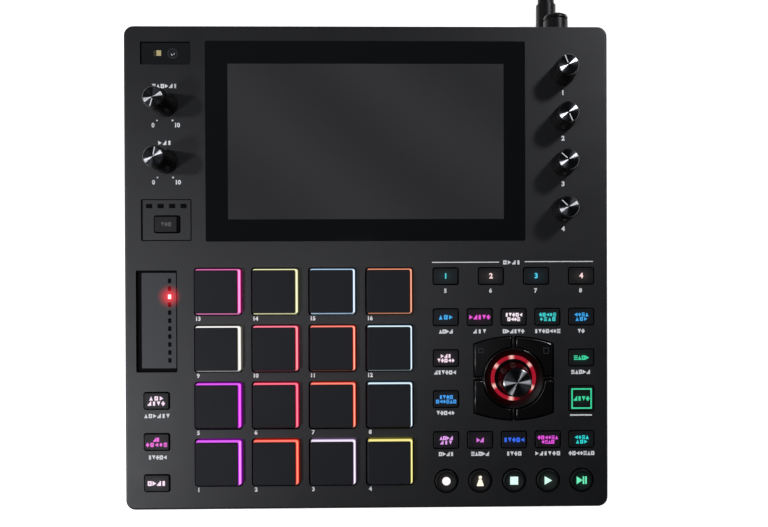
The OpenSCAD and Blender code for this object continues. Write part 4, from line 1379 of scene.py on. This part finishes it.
@dataclass
class KeyRows:
    """The flat lit keys, each a smoked cap with a lit legend."""

    width: float = 13.6
    depth: float = 8.9
    corner: float = 0.8
    edge: float = 0.25
    writer: SignWriter = field(default_factory=lambda: SignWriter(0.03))

    def base(self, form: Form, centre: Point, deep: float) -> None:
        """Add a cap's flange and stem.

        Args:
            form: The piece.
            centre: The cap's middle.
            deep: The cap's depth, front to rear.
        """
        rim = block((self.width + FLANGE_RIM, deep + FLANGE_RIM, FLANGE_THICK), self.corner)
        form.add(rim, KEY_ABS, (*centre, FLANGE_FOOT))
        form.add(stem(), KEY_ABS, (*centre, STEM_FOOT))

    def cap(self, form: Form, centre: Point, colour: str, name: str, depth: float | None = None) -> None:
        """Add one cap with its flange.

        Args:
            form: The piece.
            centre: The cap's middle.
            colour: The colour of the glow painted on it round its legend.
            name: The cap's own name.
            depth: Its depth, front to rear, if not the usual one.
        """
        deep = depth or self.depth
        self.base(form, centre, deep)
        # The legend's glow is painted on the cap round it as emission.
        painted_legend_glow = Halo(colour, (*centre, CAP_TOP), (8.5, 5.6, 4.0), 0.035)
        finish = Moulding(
            f"abs_cap_{name}", "#0e0f11", 0.5, reflect=0.3, grain_mm=0.6, depth_mm=0.015, lamp=painted_legend_glow
        )
        shell = block((self.width, deep, CAP_TOP - FLANGE_TOP), self.corner, self.edge)
        form.add(shell, finish, (*centre, FLANGE_TOP))

    def legend(
        self,
        form: Form,
        centre: Point,
        colour: str,
        name: str,
        widths: Sequence[float],
        first: int,
        size: Point | None = None,
    ) -> None:
        """Add one cap's lit legend.

        Args:
            form: The piece.
            centre: The cap's middle.
            colour: The legend's colour.
            name: The cap's own name.
            widths: Width of each line, from the rear one.
            first: Which sign the first line starts with.
            size: Height and distance of the lines, if not the usual ones.
        """
        height, pitch = size or ((2.5, 0.0) if len(widths) == 1 else (2.15, 2.5))
        finish = Lit(f"legend_{name}", colour, 0.4)
        for k, width in enumerate(widths):
            y = centre[1] + ((len(widths) - 1) / 2 - k) * pitch
            self.writer.row(form, finish, (centre[0], y, CAP_TOP), width, height, first + 3 * k)

    def single(
        self, node: str, colour: str, widths: Sequence[float], first: int, size: Point | None = None
    ) -> None:
        """Build one key with a body of its own.

        Args:
            node: The node that it stands for.
            colour: The legend's colour.
            widths: Width of each line of the legend, from the rear one.
            first: Which sign the first line starts with.
            size: Height and distance of the lines, if not the usual ones.
        """
        form = Form()
        centre = middle(node)
        self.cap(form, centre, colour, node)
        self.legend(form, centre, colour, node, widths, first, size)
        form.cap(node, "key_plastic")

    def rank(self, node: str, keys: Sequence[tuple[str, tuple[float, ...]]]) -> None:
        """Build a rank of five keys that share a body.

        Args:
            node: The node that they stand for.
            keys: Colour and widths of each key's legend, from the left.
        """
        form = Form()
        low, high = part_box(node)
        inset = (self.width + FLANGE_RIM) / 2
        left, right = low.x / METRE + inset, high.x / METRE - inset
        y = (low.y + high.y) / 2 / METRE
        for k, (colour, widths) in enumerate(keys):
            centre = (left + k * (right - left) / 4, y)
            self.cap(form, centre, colour, f"{node}_{k + 1}")
            self.legend(form, centre, colour, f"{node}_{k + 1}", widths, 2 * k + 1)
        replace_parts(form.piece(node + "_caps", node), node)

    def bank(self, number: int, colour: str) -> None:
        """Build one bank key with its number.

        Args:
            number: The number.
            colour: Its colour.
        """
        node = f"bank_key_{number}"
        form = Form()
        centre = middle(node)
        self.cap(form, centre, colour, node)
        digit = numeral(str(number), 2.8, 0.03, 0.06)
        form.add(digit, Lit(f"legend_{node}", colour, 0.4), (*centre, CAP_TOP))
        form.cap(node, "key_plastic")

    def shift(self) -> None:
        """Build the square key with its outlined legend."""
        node = "shift_key"
        colour = "#38d89c"
        form = Form()
        centre = middle(node)
        self.cap(form, centre, colour, node, depth=self.width)
        finish = Lit(f"legend_{node}", colour, 0.4)
        self.writer.put(form, finish, (*centre, CAP_TOP), self.writer.outline(11.6, 11.6, 0.8))
        self.writer.row(form, finish, (*centre, CAP_TOP), 9.0, 2.5, 4)
        form.cap(node, "key_plastic")

    def link(self) -> None:
        """Build the unlit satin key, whose right edge is a black step painted as the shade in its gap."""
        node = "link_key"
        form = Form()
        x, y = middle(node)
        self.base(form, (x, y), self.depth)
        # The matt black body shows to the right of the narrower lid as painted shade.
        form.add(block((self.width, self.depth, 3.2), self.corner, 0.1), MATT_BLACK, (x, y, FLANGE_TOP))
        lid = block((self.width - 1.3, self.depth - 0.3, 0.8), 0.5, self.edge)
        form.add(lid, LINK_ABS, (x - 0.65, y, 38.9))
        # The grey legend is given a faint painted glow, though the key is unlit.
        faint = Lit("legend_link_key", "#4c4d52", 0.4, strength=0.8)
        self.writer.row(form, faint, (x - 0.4, y, CAP_TOP), 5.6, 2.2, 6)
        form.cap(node, "key_plastic")

    def build(self) -> None:
        """Build every flat key."""
        for number, colour in enumerate(("#48d4e0", "#fbdcdc", "#48ccec", "#fbdcd8"), 1):
            self.bank(number, colour)
        mode_keys = (
            ("#38a8ec", (7.8,)), ("#ec50d4", (11.8,)), ("#fbeaf4", (9.6, 7.2)),
            ("#38d0d0", (9.6, 8.8)), ("#38a8f0", (8.0, 6.6)),
        )  # fmt: skip
        edit_keys = (
            ("#e8a4f4", (7.4, 6.6)), ("#e078e4", (4.0,)), ("#3068f0", (11.6,)),
            ("#e450dc", (11.6, 7.2)), ("#28d8d8", (8.0, 6.4)),
        )  # fmt: skip
        self.rank("mode_keys", mode_keys)
        self.rank("edit_keys", edit_keys)
        self.single("tap_key", "#fbe0f0", (5.8, 9.6), 3)
        self.single("menu_key", "#38d09c", (8.6,), 0)
        self.single("repeat_key", "#3c9cf0", (7.6, 11.4), 5)
        self.single("full_level_key", "#fbe0f4", (7.8, 9.6), 1, (2.4, 2.9))
        self.single("level_steps_key", "#f060dc", (3.6, 11.8), 4, (2.3, 2.9))
        self.single("erase_key", "#fbe0f4", (10.0,), 2, (2.7, 0.0))
        self.link()
        self.shift()


class Transport(Enum):
    """What a transport key shows."""

    RECORD = "record_key"
    OVERDUB = "overdub_key"
    STOP = "stop_key"
    PLAY = "play_key"
    PLAY_START = "play_start_key"


@dataclass
class TransportKeys:
    """Five round domed keys with lit signs, each dome with a glow painted round its sign."""

    radius: float = 6.3
    rim: float = 7.75
    thick: float = 0.03
    sign_z: float = 39.6

    def build(self) -> None:
        """Build the five keys."""
        colours = {
            Transport.RECORD: "#fff8f8", Transport.OVERDUB: "#fff8e4", Transport.STOP: "#dcfff4",
            Transport.PLAY: "#d0ffec", Transport.PLAY_START: "#6cecb8",
        }  # fmt: skip
        r = self.radius
        profile = [
            (0, 0), (self.rim, 0), (self.rim, FLANGE_THICK), (r, FLANGE_THICK), (r, 6.3), (r - 0.15, 6.65),
            (r - 0.55, 6.88), (r - 0.95, 6.95), (r - 1.3, 6.9), (r - 1.75, 6.72), (3.4, 6.6), (0, 6.55),
        ]  # fmt: skip
        for kind, colour in colours.items():
            node = kind.value
            form = Form()
            x, y = middle(node)
            # The sign's glow is painted on the dome round it as emission.
            painted_legend_glow = Halo(colour, (x, y, self.sign_z), (6.6, 6.6, 3.0), 0.05)
            dome = Moulding(
                f"abs_dome_{node}", "#08090a", 0.5, reflect=0.2, grain_mm=4.0, depth_mm=0.006, lamp=painted_legend_glow
            )
            form.add(turned(profile), dome, (x, y, FLANGE_FOOT))
            form.add(stem(), KEY_ABS, (x, y, STEM_FOOT))
            self.sign(form, kind, Lit(f"legend_{node}", colour, 0.4, strength=1.05), (x, y, self.sign_z))
            form.cap(node, "key_plastic")

    def sign(self, form: Form, kind: Transport, finish: Finish, at: Place) -> None:
        """Add one key's sign.

        Args:
            form: The piece.
            kind: Which key it is.
            finish: The lit finish.
            at: The middle of the key's top.
        """
        x, y, z = at
        if kind is Transport.RECORD:
            form.add(disc(2.35, self.thick, 32), finish, at)
        elif kind is Transport.OVERDUB:
            form.add(disc(0.95, self.thick, 32), finish, (x, y + 2.0, z))
            bell = [(-2.0, -2.9), (2.0, -2.9), (1.7, -1.7), (0.8, 0.9), (-0.8, 0.9), (-1.7, -1.7)]
            form.add(prism(bell, self.thick), finish, at)
        elif kind is Transport.STOP:
            form.add(block((4.5, 4.5, self.thick)), finish, at)
        elif kind is Transport.PLAY:
            form.add(prism([(-1.9, -2.4), (2.3, 0.0), (-1.9, 2.4)], self.thick), finish, at)
        else:
            form.add(prism([(-2.9, -2.2), (0.5, 0.0), (-2.9, 2.2)], self.thick), finish, at)
            for left in (1.0, 2.4):
                form.add(block((0.9, 4.3, self.thick)), finish, (x + left, y, z))


@dataclass
class Dial:
    """The data dial with its light ring, dish and glossy key plate."""

    centre: Point = (82.5, -67.8)
    ring_outer: float = 12.75
    ring_inner: float = 10.85
    ring_foot: float = 35.0
    well: float = 16.8
    plate: Point = (44.4, 46.8)
    bow: float = 62.4
    web: float = 1.2
    gap: float = 0.65
    knurls: int = 36

    def build(self) -> None:
        """Build the ring, dish, corner keys and dial."""
        self.ring()
        self.dish()
        self.corner_keys()
        self.knob()

    def ring(self) -> None:
        """Build the lit ring round the dial."""
        form = Form()
        inner, outer = self.ring_inner, self.ring_outer
        profile = [
            (inner, 0), (outer, 0), (outer, 2.85), (outer - 0.25, 3.1), (inner + 0.25, 3.1), (inner, 2.85),
        ]  # fmt: skip
        form.add(turned(profile, 96), RING_LIGHT, (*self.centre, self.ring_foot))
        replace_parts(form.piece("dial_ring", "case"), "light_guides")

    def dish(self) -> None:
        """Build the dish with its bead, its floor and the webs between the corner keys."""
        x, y = self.centre
        form = Form()
        slope = [(12.95, 37.5), (16.3, 38.8), (16.85, 38.9), (16.9, 39.0), (16.3, 38.98), (12.95, 37.68)]
        form.add(turned(slope, 96), DISH_ABS, (x, y, 0))
        angles = [math.tau * k / 16 for k in range(16)]
        bead = [(16.72 + 0.36 * math.cos(a), 39.12 + 0.36 * math.sin(a)) for a in angles]
        form.add(turned(bead, 96), BEAD_ABS, (x, y, 0))
        form.add(disc(10.7, 0.15, 64, inner=3.6), MATT_BLACK, (x, y, 37.15))
        half_w, half_d = self.plate[0] / 2, self.plate[1] / 2
        out_x, out_y = (half_w + self.well) / 2, (half_d + self.well) / 2
        across = (half_w - self.well, self.web, 0.45)
        along = (self.web, half_d - self.well, 0.45)
        for dx, dy, size in ((out_x, 0, across), (-out_x, 0, across), (0, out_y, along), (0, -out_y, along)):
            form.add(block(size, 0.0, 0.2), GLOSS_ABS, (x + dx, y + dy, PANEL))
        form.piece("dial_dish", "case")

    def key_outline(self, grow: float, steps: int = 14) -> list[Point]:
        """Return the outline of the corner key at the rear right.

        Args:
            grow: How far the outline lies outside the cap's own.
            steps: Segments of each arc.

        Returns:
            The corners, round from the web at the rear.
        """
        low = self.web / 2 + self.gap
        side = self.plate[0] / 2 + grow
        arc_centre = self.plate[1] / 2 - self.bow
        points = []
        for k in range(steps + 1):
            x = low + (side - low) * k / steps
            points.append((x, arc_centre + math.sqrt((self.bow + grow) ** 2 - x * x)))
        points.append((side, low))
        inner = self.well + self.gap
        start = math.asin(low / inner)
        for k in range(steps + 1):
            angle = start + (math.pi / 2 - 2 * start) * k / steps
            points.append((inner * math.cos(angle), inner * math.sin(angle)))
        return points

    def corner_keys(self) -> None:
        """Build the four glossy keys that fill the plate's corners, with a faint mark on two of them."""
        form = Form()
        x, y = self.centre
        cap_foot = FLANGE_TOP - 0.1
        for right, rear in ((-1, -1), (-1, 1), (1, -1), (1, 1)):
            cap = [(right * px, rear * py) for px, py in self.key_outline(-0.05)]
            skirt = [(right * px, rear * py) for px, py in self.key_outline(self.gap + 0.75)]
            form.add(prism(cap, CAP_TOP - cap_foot, 0.6), GLOSS_ABS, (x, y, cap_foot))
            form.add(prism(skirt, FLANGE_THICK), KEY_ABS, (x, y, FLANGE_FOOT))
            form.add(stem(), KEY_ABS, (x + right * 17, y + rear * 15, STEM_FOOT))
        writer = SignWriter(0.02)
        for dx, dy, wide, deep in ((18.3, 15.6, 3.0, 3.4), (-18.6, 15.8, 2.6, 2.6)):
            at = (x + dx, y + dy, CAP_TOP - 0.01)
            writer.put(form, FAINT_INK, at, writer.outline(wide, deep, 0.35))
        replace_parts(form.piece("corner_key_caps", "corner_keys"), "corner_keys")

    def knob(self) -> None:
        """Build the dial: polished knurled sides and a turned top with painted highlight wedges."""
        x, y = self.centre
        form = Form()
        profile = [
            (3.05, 38.2), (9.5, 38.2), (9.8, 38.5), (9.78, 39.0), (9.3, 42.5), (8.9, 46.5), (8.5, 50.5),
            (8.1, 54.7), (7.75, 55.05), (7.6, 55.05), (7.6, 54.0), (3.05, 54.0),
        ]  # fmt: skip
        sides = turned(profile, self.knurls)
        for vert in sides.verts:
            step = round(math.atan2(vert.co.y, vert.co.x) / math.tau * self.knurls)
            level = round(vert.co.z / 4)
            if vert.co.xy.length > 7.8 and (step + level) % 2:
                vert.co.x *= 0.965
                vert.co.y *= 0.965
        bmesh.ops.triangulate(sides, faces=sides.faces)
        form.add(sides, DIAL_ABS, (x, y, 0))
        top = [(0, 53.9), (7.58, 53.9), (7.58, 55.15), (7.3, 55.38), (7.0, 55.46), (0, 55.38)]
        form.add(turned(top, 96), DIAL_METAL, (x, y, 0))
        form.ring_map(self.centre)
        form.cap("dial_knob", "knob_plastic", 12.0)


@dataclass
class KnobSet:
    """Six small knobs: fluted soft-touch sides, a turned metal top with painted highlight wedges and a white
    pointer line.
    """

    foot: float = 6.8
    top: float = 5.7
    low: float = 39.6
    shaft: float = 2.9
    shaft_foot: float = 28.5
    # Each knob, its turn in degrees and the angle of its painted highlight wedges.
    turns: tuple[tuple[str, float, float], ...] = (
        ("master_knob", 164, 21.0), ("record_knob", -11, 31.0), ("param_knob_1", 22, 32.0),
        ("param_knob_2", -157, 30.0), ("param_knob_3", 49, 28.0), ("param_knob_4", 47, 25.0),
    )  # fmt: skip

    def build(self) -> None:
        """Build the six knobs, each with its shaft, turned as it stands and with highlight wedges painted at
        its own angle.
        """
        for node, turn, wedge in self.turns:
            x, y = middle(node)
            form = Form()
            form.add(self.sides(), KNOB_ABS, (x, y, 0), turn)
            cap = turned([(0, 54.6), (5.3, 54.6), (5.3, 55.3), (5.1, 55.5), (0, 55.46)], 64)
            metal = Turned(f"aluminium_turned_{node}", "#f4f5f7", 0.4, metallic=1.0, wedges=(wedge, wedge))
            form.add(cap, metal, (x, y, 0), turn)
            form.add(disc(self.shaft, 50.0 - self.shaft_foot, 32), SHAFT_STEEL, (x, y, self.shaft_foot))
            line = block((0.5, 4.2, 0.06))
            bmesh.ops.translate(line, verts=line.verts, vec=(0, 3.1, 0))
            form.add(line, WHITE_INK, (x, y, 55.44), turn)
            form.ring_map((x, y))
            form.cap(node, "knob_plastic")

    def sides(self) -> BMesh:
        """Make the fluted sides with their chamfered rim."""
        made = bmesh.new()
        bmesh.ops.create_circle(made, cap_ends=True, radius=self.foot, segments=96)
        for k, vert in enumerate(sorted(made.verts, key=lambda v: math.atan2(v.co.y, v.co.x))):
            if k % 4 in (1, 2):
                vert.co *= 0.972
        bmesh.ops.translate(made, verts=made.verts, vec=(0, 0, self.low))
        steps = ((self.foot, 0.8), (self.foot - 0.9, 14.4), (self.top - 0.15, 0.5), (5.35, 0.15), (5.3, -0.6))
        draw_up(made, list(made.faces), self.foot, steps, floor=True)
        return made


@dataclass
class StripAndWindows:
    """The touch strip, the sensor window and the link lights."""

    plate: Place = (-117.1, -34.45, 37.0)
    recess: Place = (-118.0, -34.85, 37.0)
    lamp_row: Place = (-111.1, -34.45, 35.0)
    lit_lamp: int = 8
    link_frame: Point = (-112.2, 22.0)
    link_size: Point = (27.4, 22.9)
    link_row: Place = (-112.2, 29.85, 35.0)
    window_place: Point = (-112.5, 115.5)

    def build(self, frame: dict) -> None:
        """Build the painted shade round the touch plate and in the link key's groove, the level lights, the
        link lights and the window.

        Args:
            frame: The loaded frame.
        """
        dress(frame, PLATE_ABS, "touch_strip")
        self.border()
        self.frame_groove()
        self.lights()
        self.window()

    def border(self) -> None:
        """Line the recess round the touch plate with matt black as painted shade."""
        form = Form()
        x, y, floor = self.recess
        plate_x, plate_y, _ = self.plate
        for start, end in ((x - 11.4, plate_x - 9.7), (plate_x + 9.7, x + 11.4)):
            form.add(block((end - start, 57.0, 0.9)), MATT_BLACK, ((start + end) / 2, y, floor))
        for start, end in ((y - 28.5, plate_y - 26.9), (plate_y + 26.9, y + 28.5)):
            form.add(block((19.3, end - start, 0.9)), MATT_BLACK, (plate_x, (start + end) / 2, floor))
        form.piece("strip_border", "case")

    def frame_groove(self) -> None:
        """Fill the groove round the link key with painted shadow: wide at the left and front, thin at the
        right and rear.
        """
        form = Form()
        x, y = self.link_frame
        wide, deep = self.link_size
        for dx, dy, width, depth in (
            (-wide / 2, 0, 1.1, deep), (wide / 2, 0, 0.2, deep),
            (0, -deep / 2, wide, 0.6), (0, deep / 2, wide, 0.3),
        ):  # fmt: skip
            form.add(block((width, depth, 0.06)), MATT_BLACK, (x + dx, y + dy, PANEL - 0.03))
        form.piece("link_frame_groove", "case")

    def lights(self) -> None:
        """Build the level lights, of which one is lit, and the four link lights."""
        form = Form()
        lit = Lit("lamp_level_lit", "#ffe4e4", 0.3, strength=1.3)
        x, y, foot = self.lamp_row
        for k in range(11):
            finish = lit if k == self.lit_lamp else MATT_BLACK
            lamp_y = y + (k - 5) * 4.48
            form.add(block((1.5, 2.3, 3.0), 0.2, 0.1, 2), finish, (x, lamp_y, foot))
            form.add(block((1.8, 2.6, 0.06), 0.3, 0.0, 2), finish, (x, lamp_y, 37.99))
        x, y, foot = self.link_row
        for k in range(4):
            lamp_x = x + (k - 1.5) * 6.4
            form.add(block((3.1, 2.2, 3.9), 0.2, 0.1, 2), GLOSS_ABS, (lamp_x, y, foot))
            form.add(block((3.5, 2.3, 0.03)), MATT_BLACK, (lamp_x, y, PANEL))
        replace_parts(form.piece("level_and_link_lights", "case"), "light_guides")

    def window(self) -> None:
        """Build the dark window with its sensor and lens, a strip of painted shade beside the gold square and
        painted glints on the lens.
        """
        form = Form()
        x, y = self.window_place
        top = 38.2
        form.add(block((27.7, 12.5, 0.8), 0.7, 0.4), SENSOR_PC, (x, y, top - 0.8))
        form.add(block((2.6, 3.1, 0.05)), SENSOR_GOLD, (x - 3.8, y + 0.2, top))
        # A darker copy of the gold, painted as shade at its left.
        form.add(block((1.3, 3.1, 0.04)), SENSOR_GOLD_SHADE, (x - 6.0, y, top))
        lens = (x + 3.9, y, top)
        form.add(disc(2.8, 0.05, 48, inner=2.3), LENS_GREY, lens)
        form.add(disc(1.5, 0.06, 48, inner=1.2), LENS_GREY, lens)
        form.add(turned([(0, 0), (1.1, 0), (1.0, 0.16), (0.6, 0.3), (0, 0.36)], 32), GLOSS_ABS, lens)
        # Two pale discs on the lens are painted glints.
        form.add(disc(0.45, 0.03, 16), LENS_PAINTED_GLINT, (x + 3.7, y - 0.9, 38.44))
        form.add(disc(0.35, 0.03, 16), LENS_PAINTED_GLINT, (x + 4.9, y - 0.2, 38.4))
        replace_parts(form.piece("sensor_window", "case"), "light_guides")


def main() -> None:
    """Build the studio and every sub-assembly."""
    logging.basicConfig(level=logging.INFO, format="%(name)s: %(message)s")
    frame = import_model()
    Studio().build()
    SupplyLead().build(frame)
    CaseShells().build(frame)
    PanelPrint().build()
    PadGrid().build()
    KeyRows().build()
    TransportKeys().build()
    Dial().build()
    KnobSet().build()
    StripAndWindows().build(frame)


if __name__ == "__main__":
    main()
